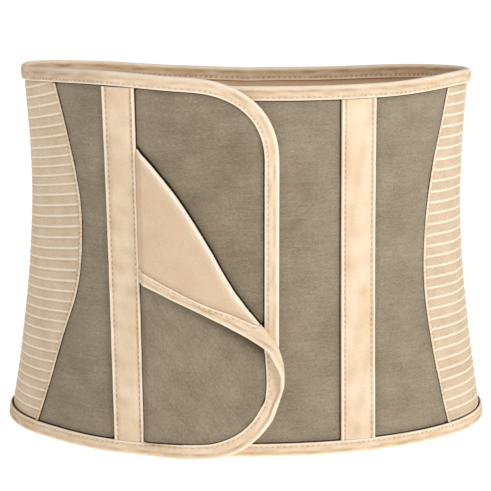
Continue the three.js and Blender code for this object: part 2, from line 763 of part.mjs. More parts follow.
// Band of the outer flap: pairs of outer and inner places, from the strip's foot to the turned end
function bandPairs() {
  const pairs = [];
  const start = OUTER_REACH - FOOT_CORNER.across;
  const footStart = stripEdgeAt(0) + GAP;
  steps(3).forEach((t) => {
    const s = mix(footStart, start, t);
    pairs.push([toPlane([s, 0]), toPlane([s, bandSeamFoot(s)])]);
  });
  const seamShare = 1 - (BINDING_WIDTH + SEAM_PAST_BINDING) / FOOT_CORNER.across;
  BAND_TURNS.forEach((turn) => {
    const s = start + cornerColumn(FOOT_CORNER, turn);
    const inner = start + cornerColumn(FOOT_CORNER, turn) * seamShare;
    pairs.push([toPlane([s, flapFoot(s, 0, OUTER_REACH)]), toPlane([inner, bandSeamFoot(inner)])]);
  });
  BAND_CURLS.forEach((share) => {
    const b = share * FOLD_LENGTH;
    pairs.push([[b, leaveAt(b) + rolledAt(b)], [b, FOLD_LENGTH * curlSeam(share)]]);
  });
  // The inner side crosses from the flat over the roll to the turned side here.
  const flatPair = pairs[pairs.length - 1];
  const crossing = BAND_CROSSING * FOLD_LENGTH;
  const turnedPair = [
    [crossing, leaveAt(crossing) + rolledAt(crossing)],
    [crossing, turnedAcross(crossing, FOLD_LENGTH * turnedSeam(BAND_CROSSING))],
  ];
  steps(4).slice(1).forEach((t) => {
    pairs.push(flatPair.map((place, i) => place.map((value, k) => mix(value, turnedPair[i][k], t))));
  });
  BAND_TURNED.forEach((share) => {
    const slant = BAND_SLANT.most * clamp01((BAND_SLANT.from - share) / BAND_SLANT.over);
    const b = share * FOLD_LENGTH;
    const inner = (share - slant) * FOLD_LENGTH;
    pairs.push([
      [b, leaveAt(b) + rolledAt(b)],
      [inner, turnedAcross(inner, FOLD_LENGTH * turnedSeam(share - slant))],
    ]);
  });
  return pairs;
}
// Shares across the band, inner to outer, that keep its flat, rolled and turned stretches on their own
// columns, each at least the least share wide
const LEAST_SHARE = 0.1;
function bandShares([outer, inner]) {
  const leave = leaveAt(outer[0]);
  const roll = leave + Math.PI * radiusAt(outer[0]);
  const share = (a) => (a - inner[1]) / (outer[1] - inner[1]);
  const flatMost = 1 - 2 * LEAST_SHARE;
  const unrolled = outer[0] > FOLD_LENGTH;
  const flat = unrolled ? flatMost : Math.min(flatMost, Math.max(LEAST_SHARE, share(leave)));
  const rolledMost = 1 - LEAST_SHARE;
  const rolled = unrolled ? rolledMost : Math.min(rolledMost, Math.max(flat + LEAST_SHARE, share(roll)));
  const shares = [0, 0.5, 1].map((t) => flat * t);
  [0.33, 0.67, 1].forEach((t) => shares.push(mix(flat, rolled, t)));
  [0.5, 1].forEach((t) => shares.push(mix(rolled, 1, t)));
  return shares;
}
// The band swept through its pairs, thin at its hidden start
function flapBand() {
  const pairs = bandPairs();
  const across = steps(7);
  const profile = [...across.map((t) => [t, 0]), ...[...across].reverse().map((t) => [t, 1])];
  const loops = pairs.map(([outer, inner], j) => {
    const wall = mix(BAND_START_WALL, FLAP_BAND, clamp01(j / 2));
    const shares = bandShares([outer, inner]);
    return profile.map((_, i) => {
      const back = i < across.length;
      const t = shares[back ? i : 2 * across.length - 1 - i];
      const offset = back ? -FLAP_BAND / 2 : wall - FLAP_BAND / 2;
      return flapPoint(mix(inner[0], outer[0], t), mix(inner[1], outer[1], t), offset);
    });
  });
  return sweep(loops, profile);
}

// Nodes
add("flap_outer", "taupe", flapLayer(GAP / 2, GAP / 2 + OUTER_CLOTH));
add("flap_lining", "lining", flapLayer(-GAP / 2 - OUTER_LINING, -GAP / 2));
add("flap_binding", "beige", flapBand());
add("front_panel_right", "taupe", wall(frontRightColumns, panelRows, frontRight, CLOTH_IN, CLOTH_OUT));
add("front_right_lining", "lining", wall(frontRightColumns, panelRows, frontRight, 0, LINING));
add("side_panel_right", "elastic", ribbed(sideRight));
add("back_panel", "taupe", wall(backColumns, panelRows, back, CLOTH_IN, CLOTH_OUT));
add("back_lining", "lining", wall(backColumns, panelRows, back, 0, LINING));
add("side_panel_left", "elastic", ribbed(sideLeft));
add("front_panel_left", "taupe", wall(flapColumns, panelRows, frontLeft, CLOTH_IN, CLOTH_OUT));
add("front_left_lining", "lining", wall(flapColumns, panelRows, frontLeft, 0, LINING));
add("top_binding", "beige", sweep(bindingLoops(true), BINDING));
add("bottom_binding", "beige", sweep(bindingLoops(false), BINDING));
add("under_flap_binding", "beige", underBinding());
add("hook_patch", "hook", hookPatch());
add("boning_strip_left", "beige", strip(STRIP_LEFT, leftPoint, rimLeft));
add("boning_strip_right", "beige", strip(STRIP_RIGHT, rightPoint, rimRight));
add("seam_tape_left_front", "seam", seamTape(seamLeft, rimLeft, leftRound));
add("seam_tape_left_back", "seam", seamTape(seamLeftBack, rimLeft, leftRound));
add("seam_tape_right_front", "seam", seamTape(seamRight, rimRight, point));
add("seam_tape_right_back", "seam", seamTape(seamRightBack, rimRight, point));

// The frame's origin is under the middle of the whole.
const bounds = new THREE.Box3().setFromObject(group);
const middle = bounds.getCenter(new THREE.Vector3());
group.position.set(-middle.x, -middle.y, -bounds.min.z);
group.updateMatrixWorld(true);

export default group;
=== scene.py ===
import math

import bpy
import numpy as np
from bpy.props import FloatProperty, FloatVectorProperty, PointerProperty
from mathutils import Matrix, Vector
from mathutils.geometry import tessellate_polygon


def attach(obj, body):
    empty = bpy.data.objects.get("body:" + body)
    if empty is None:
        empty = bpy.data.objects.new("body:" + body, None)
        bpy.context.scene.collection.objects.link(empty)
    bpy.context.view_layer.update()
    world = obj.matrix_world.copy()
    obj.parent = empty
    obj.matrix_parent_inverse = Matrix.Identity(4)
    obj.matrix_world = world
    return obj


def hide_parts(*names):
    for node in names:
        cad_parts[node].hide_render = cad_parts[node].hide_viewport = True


bl_info = {
    "name": "Abdominal binder",
    "version": (1, 0, 0),
    "blender": (4, 5, 0),
    "location": "3D View > Sidebar > Binder",
    "description": "Builds a wrap-around abdominal binder over its packed model",
    "category": "Object",
}

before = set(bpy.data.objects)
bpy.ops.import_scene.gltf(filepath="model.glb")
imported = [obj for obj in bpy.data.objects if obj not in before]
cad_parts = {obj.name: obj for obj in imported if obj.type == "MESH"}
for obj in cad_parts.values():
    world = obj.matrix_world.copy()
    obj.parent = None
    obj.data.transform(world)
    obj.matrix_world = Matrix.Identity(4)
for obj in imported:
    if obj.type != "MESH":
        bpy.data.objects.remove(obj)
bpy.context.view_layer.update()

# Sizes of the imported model, in millimetres
HEIGHT = 250.0
HALF_WIDTH = 149.2
FRONT_DEPTH = 110.9
BACK_DEPTH = 86.0
# The model's origin stands under the middle of its box.
ORIGIN = (0.056, 18.107, 0.0)

# Layers, as offsets outwards from the base surface
LINING_OUT = 1.0
CLOTH_IN = 1.3
CLOTH_OUT = 2.9
ELASTIC_IN = 0.3
ELASTIC_OUT = 2.2
TRIM_OUT = 3.0
BINDING_IN = -1.45
BINDING_OUT = 4.2
BINDING_WIDTH = 9.5
EDGE_INSET = 1.3
FLAP_LIFT = 5.95
FLAP_REACH = 21.2
UNDER_REACH = -62.0
LIFT_FROM = -150.0
LIFT_TO = -85.0
CORNER_FULL = 2.3
TOP_ACROSS = 58.0
TOP_ALONG = 55.0
FOOT_ROUND = 60.0

# Outer flap and its turned corner
OUTER_REACH = 24.0
FLAP_BAND = 3.0
FOLD_S = -69.9
FOLD_Z = 207.5
FOLD_LENGTH = 184.0
FOLD_ANGLE = math.radians(55.5)
OUTER_BASE = 4.15
OUTER_ON_BINDING = 6.0
BINDING_JOIN = 74.7

# Small gaps and tucks: half the gap between panels, trim clear of the binding, band clear of it,
# the hollow beside a side seam, and how far the flap reaches under the strip and the foot band
SEAM_GAP = 0.1
TRIM_FOOT = BINDING_WIDTH + 0.3
BAND_SEAM = BINDING_WIDTH + 1
TAPE_SIDE = 1.2
STRIP_TUCK = 1.2
FOOT_TUCK = 0.35
# The outer flap's base rises from one height to the other where it climbs over the binding.
BASE_RISE_FROM = 23.0
BASE_RISE_OVER = 11.5
# Beside the strip heights above this one are pressed to a share of themselves.
PRESSED_HEIGHT = 3.3
PRESSED_SHARE = 0.07
PRESSED_OVER = 6.0
# Stitches: from a tape's sewn edge, from a strip's edge, and groove spacing along the tape
STITCH_IN = 2.0
BAND_STITCH_IN = 2.1
STRIP_STITCH_IN = 2.5
GROOVE_PITCH = 3.9
OVERLOCK_PITCH = 2.7
DASH_PITCH = 3.6
# Boning strip and the round piping along its edges
STRIP_WIDTH = 22.6
PIPING_RADIUS = 0.95
# Seam tape, and the cut width of a side panel that its seam gap is measured on
TAPE_HALF_WIDTH = 1.25
TAPE_HEIGHT = 0.65
SIDE_WIDTH = 165.0
# Hidden hook tape: girth, height and offset ranges
HOOK_GIRTH = (-46, 6)
HOOK_HEIGHT = (34, 214)
HOOK_OFFSET = (3.2, 5.4)
# Grid steps along tapes, and halvings in a search
TAPE_STEP = 1.8
OVERLOCK_STEP = 0.8
HALVINGS = 30
# The photo's camera: place in metres, and tilt in degrees up from straight down
CAMERA_PLACE = (-0.000394, -1.812893, 0.468)
CAMERA_ANGLE = 79.28
FLOOR_REACH = 30.0

# Girth share of the waist at shares of the height, foot to head
GIRTH = (
    (0, 1.112),
    (0.12, 1.08),
    (0.29, 1.04),
    (0.42, 1.017),
    (0.6, 1),
    (0.78, 1.0035),
    (0.9, 1.0145),
    (1, 1.0285),
    (1.04, 1.035),
)
# Rim height share against the share of the half girth from the front centre
RIM_RIGHT = (
    (-0.2, 1.002),
    (0.24, 0.9985),
    (0.4, 1.005),
    (0.52, 0.994),
    (0.7, 0.976),
    (0.85, 0.958),
    (1, 0.951),
)
RIM_LEFT = (
    (-1, 0.951),
    (-0.86, 0.962),
    (-0.72, 0.983),
    (-0.56, 1.004),
    (-0.46, 1.01),
    (-0.35, 1.024),
    (-0.23, 1.033),
    (-0.1, 1.024),
    (0.06, 1.012),
)
# Front seams of the side panels: height share, share of the half girth
SEAM_LEFT = (
    (0, -0.3785),
    (0.12, -0.358),
    (0.27, -0.333),
    (0.42, -0.301),
    (0.55, -0.2945),
    (0.68, -0.301),
    (0.82, -0.3245),
    (0.94, -0.347),
    (1, -0.357),
)
SEAM_RIGHT = (
    (0, 0.3595),
    (0.12, 0.3485),
    (0.3, 0.3355),
    (0.45, 0.3305),
    (0.6, 0.3385),
    (0.75, 0.3545),
    (0.88, 0.3745),
    (1, 0.389),
)
# Turned corner, in shares of the fold length: along, outline across, roll radius
FOLD = (
    (0, 0, 0.0087),
    (0.09, 0.013, 0.0092),
    (0.24, 0.022, 0.0103),
    (0.44, 0.0114, 0.0114),
    (0.54, -0.0005, 0.012),
    (0.64, -0.006, 0.0125),
    (0.77, 0, 0.013),
    (0.853, 0.0027, 0.013),
    (0.88, -0.0043, 0.013),
    (0.928, -0.0212, 0.0125),
    (0.96, -0.041, 0.012),
    (1, -0.074, 0.012),
)
TURNED_EDGE = ((0.4, -0.278), (0.527, -0.201), (0.646, -0.1315), (0.772, -0.068), (0.837, -0.042))
TURNED_SEAM = ((0.355, -0.2525), (0.564, -0.1385), (0.67, -0.066), (0.735, -0.026))
# Curl at the end of the fold: along, rolled length, flat seam of the band
CURL = (
    (0.77, 0.088, -0.026),
    (0.84, 0.065, -0.043),
    (0.88, 0.05, -0.064),
    (0.92, 0.038, -0.088),
    (0.955, 0.022, -0.111),
    (0.98, 0.009, -0.131),
    (1, 0, -0.15),
)
# Band of the flap above the curl: share where it crosses the fold, then shares up to the turned end,
# and how far its seam lags behind its edge there
BAND_CROSSING = 0.755
BAND_TURNED = (0.725, 0.68, 0.62, 0.56, 0.5, 0.44, 0.39)
BAND_SLANT = 0.045
BAND_ROUND = 5.5
# Ribs of the side panels: height, count of ribs up from the foot
RIBS_LEFT = ((0, 0), (98, 14.96), (160, 23.95), (185, 27.92), (245, 36.49))
RIBS_RIGHT = ((0, 0), (130, 18.44), (245, 34.13))
# Curl of the band's outer edge below the fold, by corner turn then by share along the fold:
# place, curled length, radius
CORNER_CURL = (
    (0.12, 0.0, BAND_ROUND),
    (0.22, 0.0, BAND_ROUND),
    (0.34, 0.8, BAND_ROUND),
    (0.46, 2.0, 5.4),
    (0.58, 3.4, 5.2),
    (0.7, 5.2, 4.9),
)
EDGE_CURL = (
    (1, 7.4, 4.3),
    (0.98, 8.6, 3.9),
    (0.955, 9.6, 3.6),
    (0.93, 10.4, 3.3),
    (0.905, 11.0, 3.0),
    (0.88, 11.3, 2.8),
    (0.86, 11.6, 2.65),
    (0.84, 12.0, 2.5),
    (0.815, 13.2, 2.42),
    (0.79, 14.9, 2.4),
    (0.77, 16.2, 2.39),
)
# Boning strips: girth of their two edges at the foot and at the head
STRIP_LEFT = ((-87.2, -66.8), (-95.4, -72.5))
STRIP_RIGHT = ((63.9, 88.3), (63.2, 87.9))
# Painted shade that a cloth's colour is multiplied by: in the gap under a tape and just beside it,
# the painted shadow under the turned corner, and painted shade in a stitch groove and below a rib
CLOTH_GAP = ("#594d42", "#6f6559")
LINING_GAP = ("#c4b6aa", "#f3f0ec")
ELASTIC_GAP = ("#957e6c", "#dacec2")
CORNER_SHADE = "#958676"
GROOVE_SHADE = "#9e866f"
RIB_SHADE = "#efeae3"
FLOOR_WHITE = "#f3f3f3"


def mix(a, b, t):
    """Straight line from a at t = 0 to b at t = 1."""
    return a + (b - a) * t


def bell(x, centre, width):
    """A bump of height 1: e to the minus square of the distance over the width."""
    return np.exp(-(((x - centre) / width) ** 2))


def fade(distance, reach):
    """1 at no distance, falling by e at every reach; 1 below zero."""
    return np.exp(-np.maximum(distance, 0) / reach)


def run_length(*coordinates):
    """Length along a run of places, from 0 at the first."""
    steps = np.sqrt(sum(np.diff(values) ** 2 for values in coordinates))
    return np.concatenate([[0], np.cumsum(steps)])


def share_grid(columns, rows):
    """Column and row shares from 0 to 1 over a whole grid."""
    return np.meshgrid(np.linspace(0, 1, columns), np.linspace(0, 1, rows))


def millimetres(name):
    """One of the panel's sizes, in the millimetres of this script."""
    return getattr(bpy.context.scene.binder_sizes, name) * 1000


def ease(t):
    """Smooth step: three t squared minus two t cubed, held at 0 and 1."""
    t = np.clip(t, 0.0, 1.0)
    return t * t * (3 - 2 * t)


def curve(rows, column=1):
    """Cubic pieces through a table's rows, each slope taken from the two neighbours."""
    x = np.array([row[0] for row in rows], float)
    y = np.array([row[column] for row in rows], float)
    before = np.maximum(np.arange(len(x)) - 1, 0)
    after = np.minimum(np.arange(len(x)) + 1, len(x) - 1)
    slope = (y[after] - y[before]) / (x[after] - x[before])

    def at(value):
        value = np.asarray(value, float)
        i = np.clip(np.searchsorted(x, value) - 1, 0, len(x) - 2)
        span = x[i + 1] - x[i]
        t = (np.clip(value, x[0], x[-1]) - x[i]) / span
        rise = y[i] * (1 + 2 * t) * (1 - t) ** 2 + slope[i] * span * t * (1 - t) ** 2
        rise = rise + y[i + 1] * t * t * (3 - 2 * t) + slope[i + 1] * span * t * t * (t - 1)
        low = slope[0] * np.minimum(value - x[0], 0)
        return rise + low + slope[-1] * np.maximum(value - x[-1], 0)

    return at


def plan_arcs(steps):
    """Arc length from the front centre along two half ellipses of one width, against the angle."""
    angle = np.linspace(0, math.pi, steps + 1)
    depth = np.where(np.cos(angle) > 0, FRONT_DEPTH, BACK_DEPTH)
    x = HALF_WIDTH * np.sin(angle)
    y = -depth * np.cos(angle)
    arc = run_length(x, y)
    return angle, arc


PLAN_STEPS = 3600
PLAN_ANGLE, PLAN_ARC = plan_arcs(PLAN_STEPS)
HALF = float(PLAN_ARC[-1])
SIDE = float(PLAN_ARC[PLAN_STEPS // 2])

girth_curve = curve(GIRTH)
rim_right_curve = curve(RIM_RIGHT)
rim_left_curve = curve(RIM_LEFT)
seam_left_curve = curve(SEAM_LEFT)
seam_right_curve = curve(SEAM_RIGHT)
fold_outline = curve(FOLD, 1)
fold_radius = curve(FOLD, 2)
turned_edge = curve(TURNED_EDGE)
turned_seam = curve(TURNED_SEAM)
curl_rolled = curve(CURL, 1)
curl_seam = curve(CURL, 2)


def girth(z):
    """Girth at a height as a share of the waist."""
    return girth_curve(np.asarray(z) / HEIGHT)


def point(u, z, o):
    """The plan scaled by the girth at each height, pushed out along the plan's normal by o."""
    u, z, o = np.broadcast_arrays(*(np.asarray(value, float) for value in (u, z, o)))
    u = np.where(u > HALF, u - 2 * HALF, u)
    angle = np.sign(u) * np.interp(np.abs(u), PLAN_ARC, PLAN_ANGLE)
    depth = np.where(np.cos(angle) > 0, FRONT_DEPTH, BACK_DEPTH)
    nx = np.sin(angle) / HALF_WIDTH
    ny = -np.cos(angle) / depth
    size = np.hypot(nx, ny)
    k = girth(z)
    x = k * HALF_WIDTH * np.sin(angle) + o * nx / size
    y = -k * depth * np.cos(angle) + o * ny / size
    return np.stack([x, y, z], -1)


def lift(s):
    """Rise of the left side over the under flap: a smooth step along the girth."""
    return FLAP_LIFT * ease((s - LIFT_FROM) / (LIFT_TO - LIFT_FROM))


def right_point(s, z, o):
    """A place at true girth distance s, height z and offset o."""
    return point(np.asarray(s) / girth(z), z, o)


def left_point(s, z, o):
    """As on the right, raised over the under flap by the lift."""
    return point(np.asarray(s) / girth(z), z, o + lift(s))


def offset_places(left, u, z):
    """The function from an offset to the places at u and z, raised where the piece is on the left."""
    if left:
        return lambda o: left_point(u * girth(z), z, o)
    return lambda o: point(u, z, o)


def rim_left(u):
    """Height of the head edge at waist arc u, left of the front centre and over it."""
    return HEIGHT * rim_left_curve(np.asarray(u) / HALF)


def rim_right(u):
    """Height of the head edge at waist arc u, right of the front centre and on round the back."""
    u = np.asarray(u, float)
    right = HEIGHT * rim_right_curve(u / HALF)
    return np.where(u > HALF, rim_left(u - 2 * HALF), right)


def seam_left(v):
    """Waist arc of the front seam of the left side panel at height share v."""
    return HALF * seam_left_curve(v)


def seam_right(v):
    """Waist arc of the front seam of the right side panel at height share v."""
    return HALF * seam_right_curve(v)


def seam_left_back(v):
    """The front seam mirrored about the left side line."""
    return -2 * SIDE - seam_left(v)


def seam_right_back(v):
    """The front seam mirrored about the right side line."""
    return 2 * SIDE - seam_right(v)


def corner_drop(into, across, along):
    """How far a superellipse corner has fallen back at a distance into it."""
    share = np.clip(into / across, 0, 1)
    return along * (1 - (1 - share**CORNER_FULL) ** (1 / CORNER_FULL))


def flap_head(s, inset=0.0):
    """Height of the over flap's head edge, dropping round its corner."""
    into = s - (FLAP_REACH - TOP_ACROSS)
    rim = rim_left(s / float(girth(HEIGHT))) - inset
    return rim - corner_drop(into, TOP_ACROSS - inset, TOP_ALONG - inset)


def flap_foot(s, inset=0.0, reach=FLAP_REACH):
    """Height of the over flap's foot edge, climbing round its corner."""
    into = s - (reach - FOOT_ROUND)
    return inset + corner_drop(into, FOOT_ROUND - inset, FOOT_ROUND - inset)


def waves(s, z, size, seed):
    """Soft unevenness: a sum of a few slanted sines of about one size, from -1 to 1."""
    rng = np.random.default_rng(seed)
    total = np.zeros(np.broadcast(s, z).shape)
    for _ in range(6):
        turn = rng.uniform(0, math.pi)
        wave = size * rng.uniform(0.7, 1.5)
        phase = rng.uniform(0, 2 * math.pi)
        total = total + np.sin(2 * math.pi * (s * math.cos(turn) + z * math.sin(turn)) / wave + phase)
    return total / 3.2


# Outer flap, in its own plane: b runs along the fold and a across it, towards the free edge


def radius_at(b):
    """Roll radius of the fold at b."""
    return FOLD_LENGTH * fold_radius(np.clip(b / FOLD_LENGTH, 0, 1))


def rolled_at(b):
    """Length of cloth past the line where it leaves the flat: all of the turned side, then the curl."""
    share = np.asarray(b, float) / FOLD_LENGTH
    radius = radius_at(b)
    turned = FOLD_LENGTH * (fold_outline(share) - turned_edge(share))
    full = math.pi * radius + turned - radius - FLAP_BAND / 2
    curl = np.maximum(0, FOLD_LENGTH * curl_rolled(share))
    rolled = np.where(share <= CURL[0][0], full, curl)
    return np.where(share >= 1, 0, rolled)


def leave_at(b):
    """The line where the cloth leaves the flat: the outline less the reach of its roll."""
    radius = radius_at(b)
    reach = (radius + FLAP_BAND / 2) * np.sin(np.minimum(rolled_at(b) / radius, math.pi / 2))
    return FOLD_LENGTH * fold_outline(np.clip(b / FOLD_LENGTH, 0, 1)) - reach


def turned_across(b, visible):
    """A visible distance on the turned side, as a distance in the cloth's own plane."""
    return 2 * leave_at(b) + math.pi * radius_at(b) - visible


def inside_foot(s, z):
    """How far inside the over flap's lower edge a place is."""
    x = s - (FLAP_REACH - FOOT_ROUND)
    y = FOOT_ROUND - z
    round_part = (np.maximum(x, 0.01) / FOOT_ROUND) ** CORNER_FULL
    round_part = round_part + (np.maximum(y, 0.01) / FOOT_ROUND) ** CORNER_FULL
    corner = np.hypot(x, y) * (1 / round_part ** (1 / CORNER_FULL) - 1)
    return np.where((x <= 0) | (y <= 0), np.minimum(z, FLAP_REACH - s), corner)


def outer_base(s, z):
    """Height of the outer flap's base: it climbs smoothly on to the binding."""
    near = ease((BASE_RISE_FROM - inside_foot(s, z)) / BASE_RISE_OVER)
    return mix(OUTER_BASE, OUTER_ON_BINDING, near)


def from_plane(b, a):
    """Turns along-fold b and across-fold a into girth s and height z."""
    s = FOLD_S + b * math.cos(FOLD_ANGLE) + a * math.sin(FOLD_ANGLE)
    z = FOLD_Z - b * math.sin(FOLD_ANGLE) + a * math.cos(FOLD_ANGLE)
    return s, z


def to_plane(s, z):
    """Turns girth s and height z into along-fold b and across-fold a."""
    ds = s - FOLD_S
    dz = z - FOLD_Z
    b = ds * math.cos(FOLD_ANGLE) - dz * math.sin(FOLD_ANGLE)
    a = ds * math.sin(FOLD_ANGLE) + dz * math.cos(FOLD_ANGLE)
    return b, a


def raised_point(s, z, rise):
    """A place above the outer flap's base; beside the strip it is pressed down to tuck under."""
    beside = ease((s - strip_edge_at(z) + 1.0) / PRESSED_OVER)
    above = outer_base(s, z) + rise - PRESSED_HEIGHT
    return left_point(s, z, PRESSED_HEIGHT + above * mix(PRESSED_SHARE, 1.0, beside))


def flap_point(b, a, offset):
    """Rolls the flat cloth over a half circle of the fold's radius, then lays it back on itself."""
    b, a, offset = np.broadcast_arrays(*(np.asarray(value, float) for value in (b, a, offset)))
    leave = leave_at(b)
    radius = radius_at(b)
    past = np.where(b < FOLD_LENGTH, a - leave, -1.0)
    turn = np.clip(past / radius, 0, math.pi)
    rolled = leave + radius * np.sin(turn) - np.maximum(0, past - math.pi * radius)
    across = np.where(past > 0, rolled, a) - offset * np.sin(turn)
    rise = radius * (1 - np.cos(turn)) + offset * np.cos(turn)
    s, z = from_plane(b, across)
    return raised_point(s, z, rise)


def strip_edge_at(z):
    """Girth of the left strip's inner edge at a height."""
    return mix(STRIP_LEFT[0][1], STRIP_LEFT[1][1], z / HEIGHT)


def band_seam_foot(s):
    """Height of the seam along the foot of the flap's band."""
    return flap_foot(s, BAND_SEAM, OUTER_REACH)


def flap_start(b, inside):
    """Halves an interval until it finds where a line across the flap meets the strip or foot band."""
    near = np.broadcast_to(inside, b.shape).astype(float)
    far = np.full(b.shape, -0.8 * FOLD_LENGTH)
    for _ in range(HALVINGS):
        middle = (near + far) / 2
        s, z = from_plane(b, middle)
        on = (s > strip_edge_at(z) - STRIP_TUCK) & (z > band_seam_foot(s) - FOOT_TUCK)
        near = np.where(on, middle, near)
        far = np.where(on, far, middle)
    return near


def lower_band():
    """Stations along the foot, round the corner and up the curled edge.

    Each row is the seam's place, the edge's place, the curled length and the curl's radius.
    """
    start = OUTER_REACH - FOOT_ROUND
    rows = []
    for s in np.linspace(strip_edge_at(0) - STRIP_TUCK, start, 8):
        rows.append((s, float(band_seam_foot(s)), s, 0.0, 0.0, BAND_ROUND))
    for turn, curl, radius in CORNER_CURL:
        column = FOOT_ROUND * math.sin(turn * math.pi / 2) ** (2 / CORNER_FULL)
        s = start + column
        seam = start + column * (1 - BAND_SEAM / FOOT_ROUND)
        foot = float(flap_foot(s, 0, OUTER_REACH))
        rows.append((seam, float(band_seam_foot(seam)), s, foot, curl, radius))
    for share, curl, radius in EDGE_CURL:
        b = share * FOLD_LENGTH
        seam = from_plane(b, float(FOLD_LENGTH * curl_seam(share)))
        edge = from_plane(b, float(FOLD_LENGTH * fold_outline(share)))
        rows.append((*seam, *edge, curl, radius))
    return np.array(rows)


def upper_band():
    """Stations from the fold to the turned end, in the flap's own plane: outer place, seam place."""

    def station(share, lag, seam):
        b = share * FOLD_LENGTH
        return np.array((b, float(leave_at(b) + rolled_at(b)), (share - lag) * FOLD_LENGTH, seam))

    def turned_seam_at(share):
        return float(turned_across(share * FOLD_LENGTH, FOLD_LENGTH * turned_seam(share)))

    start = EDGE_CURL[-1][0]
    flat = station(start, 0.0, float(FOLD_LENGTH * curl_seam(start)))
    turned = station(BAND_CROSSING, 0.0, turned_seam_at(BAND_CROSSING))
    rows = [mix(flat, turned, t) for t in (0, 0.25, 0.5, 0.75, 1.0)]
    for share in BAND_TURNED:
        lag = BAND_SLANT * min(1, (start - share) / 0.2)
        rows.append(station(share, lag, turned_seam_at(share - lag)))
    return np.array(rows)


def band_widths(low, high):
    """Cloth width of the band on every station: its flat stretch and its curl."""
    long = np.hypot(low[:, 2] - low[:, 0], low[:, 3] - low[:, 1])
    reach = (low[:, 5] + FLAP_BAND / 2) * np.sin(np.minimum(low[:, 4] / low[:, 5], math.pi / 2))
    wide = np.hypot(high[:, 0] - high[:, 2], high[:, 1] - high[:, 3])
    return np.concatenate([long - reach + low[:, 4], wide])[:, None], (long - reach)[:, None]


def band_place(low, high, x, offset):
    """Places at distance x from the seam: flat, then up round the curl's radius, then straight on."""
    width, flat = band_widths(low, high)
    lower = len(low)
    x, offset = np.broadcast_arrays(x, offset)
    d = low[:, 2:4] - low[:, 0:2]
    d = d / np.linalg.norm(d, axis=1)[:, None]
    radius = low[:, 5:6]
    past = x[:lower] - flat
    turn = np.clip(past / radius, 0, math.pi)
    out = flat + radius * np.sin(turn) - np.maximum(0, past - math.pi * radius)
    across = np.where(past > 0, out, x[:lower]) - offset[:lower] * np.sin(turn)
    rise = radius * (1 - np.cos(turn)) + offset[:lower] * np.cos(turn)
    first = raised_point(low[:, 0:1] + d[:, 0:1] * across, low[:, 1:2] + d[:, 1:2] * across, rise)
    t = x[lower:] / width[lower:]
    b = mix(high[:, 2:3], high[:, 0:1], t)
    a = mix(high[:, 3:4], high[:, 1:2], t)
    return np.concatenate([first, flap_point(b, a, offset[lower:])])


def smooth_through(rows, count):
    """Catmull-Rom pieces through rows of numbers, at count places evenly spaced in row number."""
    ends = np.concatenate([[2 * rows[0] - rows[1]], rows, [2 * rows[-1] - rows[-2]]])
    at = np.linspace(0, len(rows) - 1 - 1e-9, count)
    i = at.astype(int)
    t = (at - i)[:, None]
    p0, p1, p2, p3 = ends[i], ends[i + 1], ends[i + 2], ends[i + 3]
    inner = (2 * p0 - 5 * p1 + 4 * p2 - p3) * t * t + (3 * p1 - p0 - 3 * p2 + p3) * t**3
    return 0.5 * (2 * p1 + (p2 - p0) * t + inner)


# Mesh building


def make_object(name, verts, faces, uv=None, values=None, smooth_angle=50):
    """Vertices in millimetres and a list of face arrays become a mesh object at the origin."""
    verts = (np.asarray(verts) + np.array(ORIGIN)) / 1000.0
    corners = np.concatenate([f.ravel() for f in faces]).astype(np.int32)
    sizes = np.concatenate([np.full(len(f), f.shape[1]) for f in faces])
    starts = np.concatenate([[0], np.cumsum(sizes)[:-1]]).astype(np.int32)
    mesh = bpy.data.meshes.new(name)
    mesh.vertices.add(len(verts))
    mesh.vertices.foreach_set("co", verts.astype(np.float32).ravel())
    mesh.loops.add(len(corners))
    mesh.loops.foreach_set("vertex_index", corners)
    mesh.polygons.add(len(starts))
    mesh.polygons.foreach_set("loop_start", starts)
    mesh.update(calc_edges=True)
    if uv is not None:
        layer = mesh.uv_layers.new(name="cloth")
        layer.data.foreach_set("uv", (uv[corners] / 1000.0).astype(np.float32).ravel())
    for key, data in (values or {}).items():
        attribute = mesh.attributes.new(key, "FLOAT", "POINT")
        attribute.data.foreach_set("value", np.asarray(data, np.float32).ravel())
    mesh.shade_smooth()
    mesh.set_sharp_from_angle(angle=math.radians(smooth_angle))
    if mesh.validate(verbose=False):
        raise RuntimeError(name + ": the mesh held a bad face")
    made = bpy.data.objects.new(name, mesh)
    bpy.context.scene.collection.objects.link(made)
    return made


def signed_volume(verts, faces):
    """Six times the volume: the sum over fan triangles of a dot (b cross c)."""
    total = 0.0
    for part in faces:
        for k in range(1, part.shape[1] - 1):
            a, b, c = verts[part[:, 0]], verts[part[:, k]], verts[part[:, k + 1]]
            total += np.einsum("ij,ij->i", a, np.cross(b, c)).sum()
    return total


def turned_out(verts, faces):
    """Turns every face round when the closed shape's signed volume is negative."""
    verts = verts - verts.mean(0)
    return [f[:, ::-1] for f in faces] if signed_volume(verts, faces) < 0 else faces


def slab(name, outer, inner, uv, values=None, smooth_angle=50):
    """Two grids of one shape, joined round their border into a closed sheet."""
    rows, columns = outer.shape[:2]
    count = rows * columns
    verts = np.concatenate([outer.reshape(-1, 3), inner.reshape(-1, 3)])
    index = np.arange(count).reshape(rows, columns)
    cells = [index[:-1, :-1], index[:-1, 1:], index[1:, 1:], index[1:, :-1]]
    front = np.stack(cells, -1).reshape(-1, 4)
    border = np.concatenate([index[0, :-1], index[:-1, -1], index[-1, :0:-1], index[:0:-1, 0]])
    after = np.roll(border, -1)
    edge = np.stack([after, border, border + count, after + count], -1)
    faces = turned_out(verts, [np.concatenate([front, front[:, ::-1] + count, edge])])
    both = {key: np.concatenate([data.ravel()] * 2) for key, data in (values or {}).items()}
    return make_object(name, verts, faces, np.concatenate([uv.reshape(-1, 2)] * 2), both, smooth_angle)


